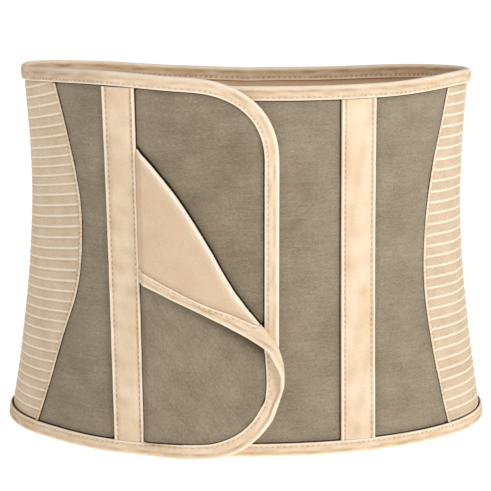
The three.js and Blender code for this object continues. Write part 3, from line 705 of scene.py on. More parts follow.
def tube(name, loops, section, uv, values=None, smooth_angle=50):
    """Closed loops of equal count along a path; the flat section gives the end faces."""
    count, sides = loops.shape[:2]
    verts = loops.reshape(-1, 3)
    index = np.arange(count * sides).reshape(count, sides)
    turned = np.roll(index, -1, axis=1)
    quads = np.stack([index[:-1], turned[:-1], turned[1:], index[1:]], -1).reshape(-1, 4)
    flat = np.array(tessellate_polygon([[Vector((x, y, 0)) for x, y in section]]), np.int64)
    a, b, c = (section[flat[:, k]] for k in range(3))
    area = (b[:, 0] - a[:, 0]) * (c[:, 1] - a[:, 1]) - (b[:, 1] - a[:, 1]) * (c[:, 0] - a[:, 0])
    flat = np.where((area > 0)[:, None], flat, flat[:, ::-1])
    x, y = section.T
    if (x * np.roll(y, -1) - y * np.roll(x, -1)).sum() < 0:
        flat = flat[:, ::-1]
    caps = np.concatenate([flat[:, ::-1], flat + (count - 1) * sides])
    faces = turned_out(verts, [quads, caps])
    return make_object(name, verts, faces, uv.reshape(-1, 2), values, smooth_angle)


def finish_piece(made, material, slot, *nodes):
    """Gives a piece its material and body, and hides the model's solids that it stands for."""
    made.data.materials.append(material)
    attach(made, "root")
    if nodes:
        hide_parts(*nodes)
    return made


def declare_sheet(grid, tall=None):
    """Works out how wide and long the flat cut is, from the grid's longest row and column, and keeps
    neither.
    """
    wide = np.linalg.norm(np.diff(grid, axis=1), axis=-1).sum(1).max() / 1000
    tall = tall or np.linalg.norm(np.diff(grid, axis=0), axis=-1).sum(0).max() / 1000


# Materials


def linear(text):
    """An sRGB hex colour as linear red, green and blue."""
    parts = [int(text[i : i + 2], 16) / 255 for i in (1, 3, 5)]
    return [p / 12.92 if p <= 0.04045 else ((p + 0.055) / 1.055) ** 2.4 for p in parts]


def node(tree, kind, inputs=None, stops=(), **settings):
    """Adds a node: settings are its properties, inputs are joined or filled, stops fill a ramp."""
    made = tree.nodes.new(kind)
    for key, value in settings.items():
        setattr(made, key, value)
    for key, value in (inputs or {}).items():
        if hasattr(value, "is_linked"):
            tree.links.new(value, made.inputs[key])
        elif made.inputs[key].type == "RGBA":
            made.inputs[key].default_value = (*value[:3], 1)
        else:
            made.inputs[key].default_value = value
    if stops:
        elements = made.color_ramp.elements
        while len(elements) < len(stops):
            elements.new(0.5)
        for element, (position, shade) in zip(elements, stops):
            element.position = position
            element.color = (*([shade] * 3 if isinstance(shade, (int, float)) else shade[:3]), 1)
    return made


def mottle(tree, source, size_mm, detail, roughness, stretch=(1, 1, 1)):
    """Noise whose main feature is size_mm across, stretched, on coordinates in metres."""
    place = node(tree, "ShaderNodeMapping", {"Vector": source, "Scale": stretch}).outputs[0]
    inputs = {"Vector": place, "Scale": 1000.0 / size_mm, "Detail": detail, "Roughness": roughness}
    return node(tree, "ShaderNodeTexNoise", inputs).outputs["Fac"]


def weave(tree, uv, across_mm, along_mm):
    """Threads both ways: the upright ones, and both multiplied where they cross.

    One band of the wave texture is two pi over twenty of its scale.
    """
    ways = []
    for direction, spacing in (("X", across_mm), ("Y", along_mm)):
        scale = 1000.0 / spacing * math.pi / 10
        inputs = {"Vector": uv, "Scale": scale, "Distortion": 0.8, "Detail": 1.0}
        made = node(tree, "ShaderNodeTexWave", inputs, wave_type="BANDS", bands_direction=direction)
        ways.append(made.outputs["Fac"])
    crossed = node(tree, "ShaderNodeMath", {0: ways[0], 1: ways[1]}, operation="MULTIPLY")
    return ways[0], crossed.outputs[0]


def shaded(tree, base, share, pattern, *stops):
    """Multiplies a colour, by a share, with a ramp of shades over a pattern."""
    shade = node(tree, "ShaderNodeValToRGB", {"Fac": pattern}, stops).outputs[0]
    inputs = {0: share, 6: base, 7: shade}
    return node(tree, "ShaderNodeMix", inputs, data_type="RGBA", blend_type="MULTIPLY").outputs[2]


def start_cloth(name, roughness, sheen, tint):
    """A matt fibre ground: a textile's IOR and weak reflection, and a sheen from its loose fibres."""
    material = bpy.data.materials.new(name)
    material.use_nodes = True
    tree = material.node_tree
    tree.nodes.clear()
    inputs = {"Roughness": roughness, "IOR": 1.45, "Specular IOR Level": 0.2}
    inputs.update({"Sheen Weight": sheen, "Sheen Roughness": 0.5, "Sheen Tint": tint})
    shader = node(tree, "ShaderNodeBsdfPrincipled", inputs)
    node(tree, "ShaderNodeOutputMaterial", {"Surface": shader.outputs[0]})
    uv = node(tree, "ShaderNodeUVMap", uv_map="cloth").outputs[0]
    return material, tree, shader, uv


def fine_relief(tree, shader, strength, depth_mm, *patterns):
    """Fine relief from a sum of patterns, of a depth in millimetres, for what is too small to be mesh."""
    height = patterns[0]
    for pattern in patterns[1:]:
        height = node(tree, "ShaderNodeMath", {0: height, 1: pattern}, operation="ADD").outputs[0]
    inputs = {"Height": height, "Strength": strength, "Distance": depth_mm / 1000}
    bump = node(tree, "ShaderNodeBump", inputs)
    tree.links.new(bump.outputs[0], shader.inputs["Normal"])


def brushed_loop_cloth(colours):
    """Brushed nylon loop cloth, napped after knitting.

    The nap gives matted short fibres, pale specks where a fibre stands up, soft clouds, and faint
    level streaks from the brushing. A real fibre is a tenth of the 1.1 mm drawn here, which is the
    smallest that shows. The edge value paints shade on the cloth where it dips under a tape, and the
    shadow value paints the shadow where the flap's turned corner lies over it, and shade on the left
    front beside its strip.
    """
    material, tree, shader, uv = start_cloth("brushed_nylon_loop_cloth", 0.95, 0.12, colours.taupe_speck)
    cloud = mottle(tree, uv, 24, 3, 0.6)
    fibre = mottle(tree, uv, 1.7, 5, 0.75, (0.75, 1.25, 1))
    streak = mottle(tree, uv, 3.2, 3, 0.6, (0.16, 1, 1))
    speck = mottle(tree, uv, 1.1, 2, 0.5)
    stops = ((0.3, colours.taupe_deep), (0.7, colours.taupe))
    base = node(tree, "ShaderNodeValToRGB", {"Fac": cloud}, stops).outputs[0]
    base = shaded(tree, base, 0.8, fibre, (0.3, 0.66), (0.7, 1.25))
    base = shaded(tree, base, 0.5, streak, (0.3, 0.82), (0.7, 1.12))
    pale = node(tree, "ShaderNodeValToRGB", {"Fac": speck}, ((0.62, 0.0), (0.74, 0.4))).outputs[0]
    inputs = {0: pale, 6: base, 7: colours.taupe_speck}
    base = node(tree, "ShaderNodeMix", inputs, data_type="RGBA").outputs[2]
    edge = node(tree, "ShaderNodeAttribute", attribute_name="edge").outputs["Fac"]
    gap_line = ((0.0, linear(CLOTH_GAP[0])), (0.05, linear(CLOTH_GAP[1])))
    base = shaded(tree, base, 1.0, edge, *gap_line, (0.1, 0.82), (0.5, 1.0))
    shadow = node(tree, "ShaderNodeAttribute", attribute_name="shadow").outputs["Fac"]
    inputs = {0: shadow, 6: base, 7: linear(CORNER_SHADE)}
    base = node(tree, "ShaderNodeMix", inputs, data_type="RGBA", blend_type="MULTIPLY").outputs[2]
    tree.links.new(base, shader.inputs["Base Color"])
    fine_relief(tree, shader, 0.7, 0.6, fibre, streak)
    return material


def woven_tape(colours):
    """Woven polyester tape, folded over the edges and sewn.

    The weave gives an even matt grain, drawn at 1.1 mm because the real 0.3 mm is too fine to show.
    The dye is faintly uneven. The tone value paints highlights on its folds and shade in its stitch groove.
    """
    material, tree, shader, uv = start_cloth("woven_polyester_tape", 0.8, 0.1, colours.tape)
    crossed = weave(tree, uv, 1.1, 1.1)[1]
    cloud = mottle(tree, uv, 26, 3, 0.5)
    fine = mottle(tree, uv, 1.2, 4, 0.7)
    stops = ((0.3, colours.tape_shade), (0.68, colours.tape))
    base = node(tree, "ShaderNodeValToRGB", {"Fac": cloud}, stops).outputs[0]
    base = shaded(tree, base, 0.7, crossed, (0.0, 0.96), (0.7, 1.02))
    base = shaded(tree, base, 0.7, fine, (0.3, 0.88), (0.7, 1.08))
    tone = node(tree, "ShaderNodeAttribute", attribute_name="tone").outputs["Fac"]
    # Painted shade in the stitch groove below half tone, and painted highlight towards the pale end.
    base = shaded(tree, base, 1.0, tone, (0.0, linear(GROOVE_SHADE)), (0.5, 1.0))
    fold_highlight = node(tree, "ShaderNodeValToRGB", {"Fac": tone}, ((0.5, 0.0), (1.0, 0.85))).outputs[0]
    inputs = {0: fold_highlight, 6: base, 7: colours.tape_highlight}
    base = node(tree, "ShaderNodeMix", inputs, data_type="RGBA").outputs[2]
    tree.links.new(base, shader.inputs["Base Color"])
    fine_relief(tree, shader, 0.4, 0.3, crossed, fine)
    return material


def knitted_lining(colours):
    """Warp-knitted lining.

    The knitting gives fine upright wales on a soft ground, duller than the tape. They are drawn at
    1.8 mm, coarser than the real ones so that they show. The crest value paints a highlight along
    the fold, and the edge value paints shade where the lining runs under a tape or strip.
    """
    material, tree, shader, uv = start_cloth("warp_knitted_lining", 0.9, 0.1, colours.lining)
    wale, crossed = weave(tree, uv, 1.8, 1.2)
    cloud = mottle(tree, uv, 20, 4, 0.6)
    fine = mottle(tree, uv, 1.4, 4, 0.7)
    stops = ((0.3, colours.lining_shade), (0.7, colours.lining))
    base = node(tree, "ShaderNodeValToRGB", {"Fac": cloud}, stops).outputs[0]
    base = shaded(tree, base, 0.7, wale, (0.1, 0.975), (0.8, 1.015))
    # Painted highlight along the fold, from the crest value.
    crest = node(tree, "ShaderNodeAttribute", attribute_name="crest").outputs["Fac"]
    inputs = {0: crest, 6: base, 7: colours.tape_highlight}
    base = node(tree, "ShaderNodeMix", inputs, data_type="RGBA").outputs[2]
    base = shaded(tree, base, 0.7, fine, (0.3, 0.88), (0.7, 1.08))
    edge = node(tree, "ShaderNodeAttribute", attribute_name="edge").outputs["Fac"]
    gap_line = ((0.0, linear(LINING_GAP[0])), (0.1, linear(LINING_GAP[1])))
    base = shaded(tree, base, 1.0, edge, *gap_line, (0.5, 1.0))
    tree.links.new(base, shader.inputs["Base Color"])
    fine_relief(tree, shader, 0.25, 0.25, crossed, fine)
    return material


def ribbed_elastic(colours):
    """Ribbed elastic webbing, woven under tension with a cord in each rib.

    The rib value paints the pale raised cords, and the under value a painted soft shade on the ground
    below each and over the right panel towards its front seam. Across the stretch the ground shows a fine
    grain.
    """
    material, tree, shader, uv = start_cloth("ribbed_elastic_webbing", 0.85, 0.1, colours.elastic_rib)
    cloud = mottle(tree, uv, 17, 4, 0.6)
    fine = mottle(tree, uv, 1.5, 5, 0.7, (0.5, 1.4, 1))
    stops = ((0.3, colours.elastic_shade), (0.7, colours.elastic))
    base = node(tree, "ShaderNodeValToRGB", {"Fac": cloud}, stops).outputs[0]
    under = node(tree, "ShaderNodeAttribute", attribute_name="under").outputs["Fac"]
    inputs = {0: under, 6: base, 7: linear(RIB_SHADE)}
    base = node(tree, "ShaderNodeMix", inputs, data_type="RGBA", blend_type="MULTIPLY").outputs[2]
    rib = node(tree, "ShaderNodeAttribute", attribute_name="rib").outputs["Fac"]
    inputs = {0: rib, 6: base, 7: colours.elastic_rib}
    base = node(tree, "ShaderNodeMix", inputs, data_type="RGBA").outputs[2]
    base = shaded(tree, base, 0.8, fine, (0.3, 0.82), (0.7, 1.1))
    edge = node(tree, "ShaderNodeAttribute", attribute_name="edge").outputs["Fac"]
    gap_line = ((0.0, linear(ELASTIC_GAP[0])), (0.05, linear(ELASTIC_GAP[1])))
    base = shaded(tree, base, 1.0, edge, *gap_line, (0.12, 0.93), (0.4, 1.0))
    tree.links.new(base, shader.inputs["Base Color"])
    fine_relief(tree, shader, 0.5, 0.35, fine)
    return material


def sewing_thread(colours):
    """Twisted polyester sewing thread: paler and glossier than the tape, mottled by its twist."""
    material, tree, shader, _ = start_cloth("polyester_sewing_thread", 0.55, 0.05, colours.thread)
    place = node(tree, "ShaderNodeTexCoord").outputs["Object"]
    twist = mottle(tree, place, 0.7, 2, 0.5)
    stops = ((0.3, colours.tape_shade), (0.6, colours.thread))
    base = node(tree, "ShaderNodeValToRGB", {"Fac": twist}, stops).outputs[0]
    tree.links.new(base, shader.inputs["Base Color"])
    return material


def moulded_hooks(colours):
    """Moulded nylon hook tape: rows of tiny stiff hooks, which give a fine even grit."""
    material, tree, shader, uv = start_cloth("moulded_nylon_hooks", 0.6, 0.0, colours.tape)
    grit = weave(tree, uv, 2.0, 2.0)[1]
    stops = ((0.1, colours.lining_shade), (0.6, colours.tape))
    base = node(tree, "ShaderNodeValToRGB", {"Fac": grit}, stops).outputs[0]
    tree.links.new(base, shader.inputs["Base Color"])
    fine_relief(tree, shader, 0.8, 0.6, grit)
    return material


MAKERS = {
    "taupe_cloth": brushed_loop_cloth,
    "binding_tape": woven_tape,
    "lining_cloth": knitted_lining,
    "ribbed_elastic": ribbed_elastic,
    "seam_tape": sewing_thread,
    "hook_tape": moulded_hooks,
}
MADE = {}


def material_for(slot):
    """Each material is made once, from the panel's colours."""
    if slot not in MADE:
        MADE[slot] = MAKERS[slot](bpy.context.scene.binder_colours)
    return MADE[slot]


# Panels: each place function turns column and row shares into waist girth u and height z


def row_height(v, rim):
    """Height at a row share, set in from the foot and from the rim."""
    return mix(EDGE_INSET, rim - EDGE_INSET, v)


def front_right_place(c, v):
    """From the hidden end of the under flap to the right side seam."""
    start = (UNDER_REACH + EDGE_INSET) / girth(row_height(v, rim_right(0)))
    u = mix(start, seam_right(v) - SEAM_GAP, c)
    return u, row_height(v, rim_right(u))


def side_right_place(c, v):
    """Between the two seams of the right side panel."""
    u = mix(seam_right(v) + SEAM_GAP, seam_right_back(v) - SEAM_GAP, c)
    return u, row_height(v, rim_right(u))


def back_place(c, v):
    """From the right back seam round to the left one."""
    end = 2 * HALF + seam_left_back(v) - SEAM_GAP
    u = mix(seam_right_back(v) + SEAM_GAP, end, c)
    return u, row_height(v, rim_right(u))


def side_left_place(c, v):
    """Between the two seams of the left side panel."""
    u = mix(seam_left_back(v) + SEAM_GAP, seam_left(v) - SEAM_GAP, c)
    return u, row_height(v, rim_left(u))


def front_left_place(c, v):
    """Straight columns run from the seam to the corner, then close up round it to the free edge."""
    start = FLAP_REACH - TOP_ACROSS
    seam = (seam_left(v) + SEAM_GAP) * girth(row_height(v, rim_left(seam_left(v))))
    straight = mix(seam, start, np.clip(c / 0.6, 0, 1))
    turn = np.clip((c - 0.6) / 0.4, 0, 1) * math.pi / 2
    s = straight + (TOP_ACROSS - EDGE_INSET) * np.sin(turn) ** (2 / CORNER_FULL)
    z = mix(flap_foot(s, EDGE_INSET), flap_head(s, EDGE_INSET), v)
    return s / girth(z), z


def column_count(span, step):
    """Number of grid lines that splits a span into steps of about one size."""
    return int(round(span / step)) + 1


def panel(name, place, columns, rows, left, seams, strip_edges, seed):
    """A cloth wall: slow waves, sine puckers that fade from the seams, and a dip into each seam."""
    c, v = share_grid(columns, rows)
    u, z = place(c, v)
    s = u * girth(z)
    over_flap = name == "front_panel_left"
    rim = flap_head(s) if over_flap else rim_right(u)
    foot = flap_foot(s) if over_flap else 0 * z
    rim_gap = np.minimum(z - foot, rim - z) - BINDING_WIDTH
    seam_gap = seams(u, s, v)
    gap = np.minimum(rim_gap, seam_gap)
    if strip_edges is not None:
        low = mix(strip_edges[0][0], strip_edges[1][0], z / HEIGHT)
        high = mix(strip_edges[0][1], strip_edges[1][1], z / HEIGHT)
        gap = np.minimum(gap, np.maximum(low - s, s - high))
    if over_flap:
        b, a = to_plane(s, z)
        beyond = a - FOLD_LENGTH * fold_outline(b / FOLD_LENGTH)
        folded = (b > -4) & (b < 0.8 * FOLD_LENGTH) & (beyond > -4) & (s > strip_edge_at(z))
        under_fold = beyond + 0.55 * (1 - ease((6 - b) / 6))
        gap = np.where(folded, np.minimum(gap, under_fold), gap)
    rim_gap = np.maximum(rim_gap, 0)
    seam_gap = np.maximum(seam_gap, 0)
    wave = millimetres("cloth_wave")
    pucker = millimetres("pucker")
    soft = wave * waves(s, z, 55, seed) + 0.4 * wave * waves(s, z, 17, seed + 1)
    up = np.sin(2 * math.pi * z / 6.3 + 2.2 * waves(s, z, 40, seed + 2))
    level = np.sin(2 * math.pi * s / 6.8 + 2.2 * waves(s, z, 40, seed + 3))
    pull = pucker * (up * fade(seam_gap, 4.5) + level * fade(rim_gap, 4.5))
    relief = soft + pull - 0.45 * fade(gap, 1.6)
    at = offset_places(left, u, z)
    outer = at(CLOTH_OUT - 0.1 + relief)
    # The edge value paints shade where the cloth dips into a seam or under a tape or strip, and on the over
    # flap beside the turned corner's fold.
    values = {"edge": np.clip(gap / 10, -0.4, 1)}
    # On the over flap the shadow value is painted shade, growing from the strip's edge towards the free
    # end.
    if over_flap:
        values["shadow"] = 0.17 * ease((s - strip_edge_at(z)) / 20)
    made = slab(name + "_cloth", outer, at(CLOTH_IN), np.stack([s, z], -1), values)
    finish_piece(made, material_for("taupe_cloth"), "taupe_cloth", name)
    declare_sheet(outer)


def lining(name, place, columns, rows, left, seed):
    """A thin inner cloth with low waves on the side that shows inside the torso opening."""
    c, v = share_grid(columns, rows)
    u, z = place(c, v)
    s = u * girth(z)
    rim = rim_left(u) if left else rim_right(u)
    gap = np.maximum(np.minimum(z, rim - z) - BINDING_WIDTH, 0)
    relief = 0.2 * waves(s, z, 34, seed) + 0.1 * np.sin(2 * math.pi * s / 6.4) * fade(gap, 5)
    at = offset_places(left, u, z)
    inner = at(relief)
    # The edge value paints shade where the lining runs under a binding.
    values = {"edge": np.clip(gap / 10, 0, 1)}
    made = slab(name + "_knit", at(LINING_OUT), inner, np.stack([s, z], -1), values)
    finish_piece(made, material_for("lining_cloth"), "lining_cloth", name)
    declare_sheet(inner)


def side_panel(name, place, left):
    """Narrow bell-shaped ribs, counted up the height from a table.

    Towards the front seam they climb with the square of the distance, most at mid-height and above.
    """
    c, v = share_grid(81, 421)
    u, z = place(c, v)
    s = u * girth(z)
    front = c if left else 1 - c
    tilt = millimetres("rib_tilt_left" if left else "rib_tilt_right")
    climb = tilt * front**2 * mix(0.1, 1.0, ease(v / 0.75))
    count = np.interp(z - climb, *np.transpose(RIBS_LEFT if left else RIBS_RIGHT))
    start = 0.15 if left else 0.06
    phase = (count + start + 0.03 * waves(s, z, 70, 31 + left)) % 1.0
    ridge = bell(phase, 0.5, 0.095)
    below = bell(phase, 0.3, 0.1)
    # Painted shade on the right panel's ground, growing towards its front seam.
    if not left:
        below = np.maximum(below, 0.5 * ease((front - 0.4) / 0.3))
    seam_gap = np.minimum(c, 1 - c) * SIDE_WIDTH - 1.1
    rim = rim_left(u) if left else rim_right(u)
    rim_gap = np.minimum(z, rim - z) - BINDING_WIDTH
    gap = np.minimum(seam_gap, rim_gap)
    ground = 0.04 * np.cos(2 * math.pi * (phase - 0.5)) + 0.3 * waves(s, z, 70, 35 + left)
    lift_off = mix(0.45, 1, ease(seam_gap / 5))
    relief = (ridge * millimetres("rib_rise") + ground) * lift_off - 0.5 * fade(gap, 2)
    at = offset_places(left, u, z)
    outer = at(ELASTIC_OUT + relief)
    # The edge value paints shade at the seams and rim, broken into dashes beside each seam.
    dash = ease((np.sin(2 * math.pi * z / DASH_PITCH) + 0.6) / 0.7)
    sewn = bell(seam_gap, 0.6, 0.5) * (0.13 * dash - 0.04)
    edge = np.clip(gap / 10 - sewn, -0.4, 1)
    values = {"edge": edge, "rib": ease((ridge - 0.15) / 0.6), "under": below}
    made = slab(name + "_webbing", outer, at(ELASTIC_IN + 0 * relief), np.stack([s, z], -1), values, 70)
    finish_piece(made, material_for("ribbed_elastic"), "ribbed_elastic", name)
    declare_sheet(at(ELASTIC_OUT))


# Bindings


def tape_tone(inside, outside, at):
    """Tone of a tape: pale bells of painted highlight at its fold and sewn edge, dark ones of painted shade
    at its stitches and crease.
    """
    wander = 0.35 * waves(at, inside * 0 + 3.0, 40, 81)
    pale = 0.42 * bell(outside, 0.7, 0.9) + 0.38 * bell(inside, 0.55, 0.55)
    groove = 0.2 * bell(inside, STITCH_IN, 0.55) * (0.8 + 0.4 * np.sin(2 * math.pi * at / GROOVE_PITCH))
    crease = (0.12 + 0.12 * waves(at, inside, 26, 82)) * bell(outside, 3.6 + wander, 0.8)
    return np.clip(0.5 + pale - groove - crease + 0.05 * waves(at, 2.5 * inside, 12, 83), 0, 1)


def binding_section():
    """Inward distance and offset round a folded tape: crowned leg, round fold, inner leg, slot."""
    width = BINDING_WIDTH
    middle = (BINDING_IN + BINDING_OUT) / 2
    half = (BINDING_OUT - BINDING_IN) / 2
    flat = width - np.array([0, 0.25, 0.7, 1.1, 1.5, 1.9, 2.3, 2.7, 3.3, 4.2, 5.2, 6.2])
    turn = np.linspace(0, 1, 8)[1:] * math.pi / 2
    groove = 0.35 * bell(flat, width - STITCH_IN, 0.5)
    lip = 0.3 * ease((flat - (width - 0.8)) / 0.8) + 0.25 * bell(flat, 3.9, 1.0)
    w = np.concatenate([flat, 2.9 * (1 - np.sin(turn))])
    rise = np.concatenate([half - groove - lip, half * np.cos(turn)])
    outer = np.stack([w, middle + rise], -1)
    inner = np.stack([w[-2::-1], middle - rise[-2::-1]], -1)
    slot_in = np.array([[width, BINDING_IN + 1.0], [5.2, BINDING_IN + 1.0], [1.6, BINDING_IN + 1.0]])
    slot_out = np.array([[1.6, CLOTH_OUT + 0.3], [5.2, CLOTH_OUT + 0.3], [width, CLOTH_OUT + 0.3]])
    return np.concatenate([outer, inner, slot_in, slot_out])


def edge_stations(up, step):
    """Stations along the head or foot edge: side, girth place, height, inward direction, distance."""
    v = 1.0 if up else 0.0
    inwards = -1.0 if up else 1.0
    k = float(girth(HEIGHT if up else 0.0))
    parts = []
    u = np.linspace(UNDER_REACH / k, 2 * HALF + float(seam_left_back(v)), 900)
    z = rim_right(u) if up else 0 * u
    parts.append(np.stack([0 * u, u, z, 0 * u, inwards + 0 * u, u * k], -1))
    u = np.linspace(float(seam_left_back(v)), float(seam_left(v)), 300)[1:]
    z = rim_left(u) if up else 0 * u
    parts.append(np.stack([1 + 0 * u, u, z, 0 * u, inwards + 0 * u, (u + 2 * HALF) * k], -1))
    across = TOP_ACROSS if up else FOOT_ROUND
    turns = np.linspace(0, 1, 160)[1:] * math.pi / 2
    corner = FLAP_REACH - across + across * np.sin(turns) ** (2 / CORNER_FULL)
    s = np.concatenate([np.linspace(float(seam_left(v)) * k, FLAP_REACH - across, 200)[1:], corner])
    z = flap_head(s) if up else flap_foot(s)
    end = BINDING_JOIN + 0.15 if up else BINDING_JOIN - 0.15
    down = np.linspace(z[-1], end, 60)[1:]
    s = np.concatenate([s, np.full(59, FLAP_REACH)])
    z = np.concatenate([z, down])
    ds, dz = np.gradient(s), np.gradient(z)
    size = np.hypot(ds, dz)
    side = -inwards
    parts.append(np.stack([2 + 0 * s, s, z, side * dz / size, -side * ds / size, s + 2 * HALF * k], -1))
    rows = np.concatenate(parts)
    gone = run_length(rows[:, 5], rows[:, 2])
    rows = np.concatenate([rows, gone[:, None]], 1)
    kept = []
    for kind in (0, 1, 2):
        part = rows[rows[:, 0] == kind]
        at = np.linspace(part[0, 6], part[-1, 6], column_count(part[-1, 6] - part[0, 6], step))
        kept.append(np.stack([np.interp(at, part[:, 6], part[:, i]) for i in range(7)], -1))
    return np.concatenate([kept[0], kept[1][1:], kept[2][1:]])


def edge_point(rows, w, o):
    """A place at inward distance w and offset o from stations of an edge."""
    kind, p, z, ns, nz = (rows[:, i : i + 1] for i in range(5))
    height = z + nz * w
    k = girth(height)
    s = np.where(kind == 2, p + ns * w, p * k)
    raised = np.where(kind == 0, 0.0, lift(s))
    return point(np.where(kind == 2, s / k, p), height, o + raised)


def tape_relief(at, w, seed):
    """The tape draws in along its stitches, puffs between them, and waves slowly."""
    near = bell(w, 6.4, 3.4)
    pull = np.sin(2 * math.pi * at / 5.6 + 1.7 * np.sin(at / 13.0) + 0.3 * w)
    slow = 0.1 * np.sin(at / 21.0 + seed) + 0.08 * np.sin(at / 8.3 + 2 * seed)
    return 1.3 * millimetres("pucker") * pull * near + slow * np.clip(w / 3, 0, 1)


def edge_binding(name, up, seed):
    """A folded tape's section carried along the whole head or foot edge, and round the flap."""
    rows = edge_stations(up, TAPE_STEP)
    section = binding_section()
    w = np.broadcast_to(section[:, 0], (len(rows), len(section)))
    at = np.broadcast_to(rows[:, 6:7], w.shape)
    middle = (BINDING_IN + BINDING_OUT) / 2
    relief = tape_relief(at, w, seed) * np.sign(section[:, 1] - middle)
    relief[:, -6:] = 0
    loops = edge_point(rows, w, section[:, 1] + relief)
    around = run_length(*section.T)
    uv = np.stack([at, np.broadcast_to(around, w.shape)], -1)
    # Painted shade: the tape's inner leg and its stretch on the left, away from the key light, are darker.
    # The outer leg along the right and the back is a little darker too.
    inner = ease((middle - section[None, :, 1]) / 1.5)
    left_side = np.where(rows[:, 0] > 0, ease((2 * HALF - 55 - rows[:, 5]) / 70), 0)[:, None]
    tone = tape_tone(BINDING_WIDTH - w, w, at) - 0.14 * np.maximum(inner, left_side)
    tone = tone - (0.06 if up else 0.03) * (rows[:, 0] == 0)[:, None] * (1 - inner)
    values = {"tone": np.clip(tone, 0, 1)}
    made = tube(name + "_tape", loops, section, uv, values)
    finish_piece(made, material_for("binding_tape"), "binding_tape", name)


def under_flap_binding():
    """The hidden end of the under flap: the same folded tape along its upright edge."""
    section = binding_section()
    foot = TRIM_FOOT
    z = np.linspace(foot, float(rim_right(0)) - foot, 90)[:, None]
    w = np.broadcast_to(section[:, 0], (90, len(section)))
    loops = point((UNDER_REACH + w) / girth(z), z, section[:, 1])
    around = run_length(*section.T)
    uv = np.stack(np.broadcast_arrays(z, around[None, :]), -1)
    made = tube("under_flap_binding_tape", loops, section, uv, {"tone": np.full(w.size, 0.5)})
    finish_piece(made, material_for("binding_tape"), "binding_tape", "under_flap_binding")


def boning_strip(name, edges, left, seed):
    """A flat channel between two round piped edges; cloth pulls in at the two stitch lines."""
    across = np.concatenate([[0, 0.005, 0.02], np.linspace(0.04, 0.96, 61), [0.98, 0.995, 1.0]])
    near = np.minimum(across, 1 - across) * STRIP_WIDTH
    round_part = (near - PIPING_RADIUS) / PIPING_RADIUS
    piping = PIPING_RADIUS * np.sqrt(np.clip(1 - round_part**2, 0, 1))
    stitch = -0.35 * bell(near, 2.6, 0.5)
    swell = 0.55 * ease((near - 2.4) / 4.0)
    rise = np.where(near < 2 * PIPING_RADIUS, piping, 0) + stitch + swell + 0.9
    section = np.concatenate([np.stack([across, rise], -1), [[1.0, 0.0], [0.0, 0.0]]])
    rim = rim_left if left else rim_right
    k = float(girth(HEIGHT))
    foot = TRIM_FOOT
    head = min(float(rim(s / k)) for s in edges[1]) - foot
    z = np.linspace(foot, head, column_count(head - foot, TAPE_STEP))[:, None]
    low = mix(edges[0][0], edges[1][0], (z - foot) / (head - foot))
    high = mix(edges[0][1], edges[1][1], (z - foot) / (head - foot))
    c = np.broadcast_to(section[:, 0], (len(z), len(section)))
    s = mix(low, high, c)
    inside = np.minimum(c, 1 - c) * STRIP_WIDTH
    pull = np.sin(2 * math.pi * z / 5.4 + 1.4 * np.sin(z / 15.0 + seed) + 0.2 * s)
    relief = 1.2 * millimetres("pucker") * pull * bell(inside, 4.0, 2.6)
    relief = relief + 0.12 * waves(s, z, 30, seed)
    relief[:, -2:] = 0
    place = left_point if left else right_point
    loops = place(s, z, TRIM_OUT + section[:, 1] + relief)
    uv = np.stack([c * STRIP_WIDTH + 40, np.broadcast_to(z, c.shape)], -1)
    # Tone: a painted highlight along each piping, and painted shade in dashes along each stitch line.
    dash = 0.8 + 0.4 * np.sin(2 * math.pi * z / GROOVE_PITCH) * waves(s, z, 60, seed + 4)
    tone = 0.5 + 0.45 * bell(inside, 0.9, 0.6) - 0.36 * dash * bell(inside, STRIP_STITCH_IN, 0.42)
    tone = np.clip(tone + 0.05 * waves(s, z, 14, seed + 5), 0, 1)
    made = tube(name + "_channel", loops, section * np.array([STRIP_WIDTH, 1]), uv, {"tone": tone})
    finish_piece(made, material_for("binding_tape"), "binding_tape", name)


def seam_place(seam, left, z):
    """Girth at a height on a side seam, from the row share that gives that height."""
    rim = rim_left if left else rim_right
    v = z / HEIGHT
    for _ in range(3):
        v = (z - EDGE_INSET) / (rim(seam(v)) - 2 * EDGE_INSET)
    return seam(v)


def seam_tape(name, seam, left):
    """A narrow tape whose overlock loops swell and pinch every few millimetres."""
    rim = rim_left if left else rim_right
    foot = TRIM_FOOT
    head = float(rim(seam(1.0))) - foot - 0.5
    z = np.linspace(foot, head, column_count(head - foot, OVERLOCK_STEP))[:, None]
    turn = np.linspace(0, math.pi, 9)
    x = np.concatenate([-np.cos(turn), [1.0, -1.0]])
    y = np.concatenate([np.sin(turn), [0.0, 0.0]])
    x[-2:] *= 0.98
    y[-2:] = -0.02
    section = np.stack([x * TAPE_HALF_WIDTH, y * TAPE_HEIGHT], -1)
    loop = 0.78 + 0.22 * np.abs(np.sin(math.pi * z / OVERLOCK_PITCH))
    u = seam_place(seam, left, z)
    k = girth(z)
    across = section[None, :, 0] * mix(0.8, 1, loop)
    s = u * k + across
    height = CLOTH_OUT - 0.25 + section[None, :, 1] * loop
    loops = left_point(s, z, height) if left else right_point(s, z, height)
    around = np.broadcast_to(section[:, 0] + 3, s.shape)
    uv = np.stack([around, np.broadcast_to(z, s.shape)], -1)
    front = seam in (seam_left, seam_right)
    elastic_side = section[None, :, 0] * (-1 if left == front else 1)
    # Tone: painted highlight where the loops swell and painted shade where they pinch, with dashes of
    # painted shade along the side against the elastic.
    dashed = ease((np.sin(2 * math.pi * z / DASH_PITCH) + 0.7) / 0.8)
    tone = 0.42 + 0.2 * np.abs(np.sin(math.pi * z / OVERLOCK_PITCH)) + 0.1 * waves(z, 0 * z, 9, 90)
    tone = tone - 0.42 * dashed * bell(elastic_side, 0.75, 0.32)
    made = tube(name + "_loops", loops, section, uv, {"tone": np.clip(tone, 0, 1)}, 80)
    finish_piece(made, material_for("binding_tape"), "seam_tape", name)


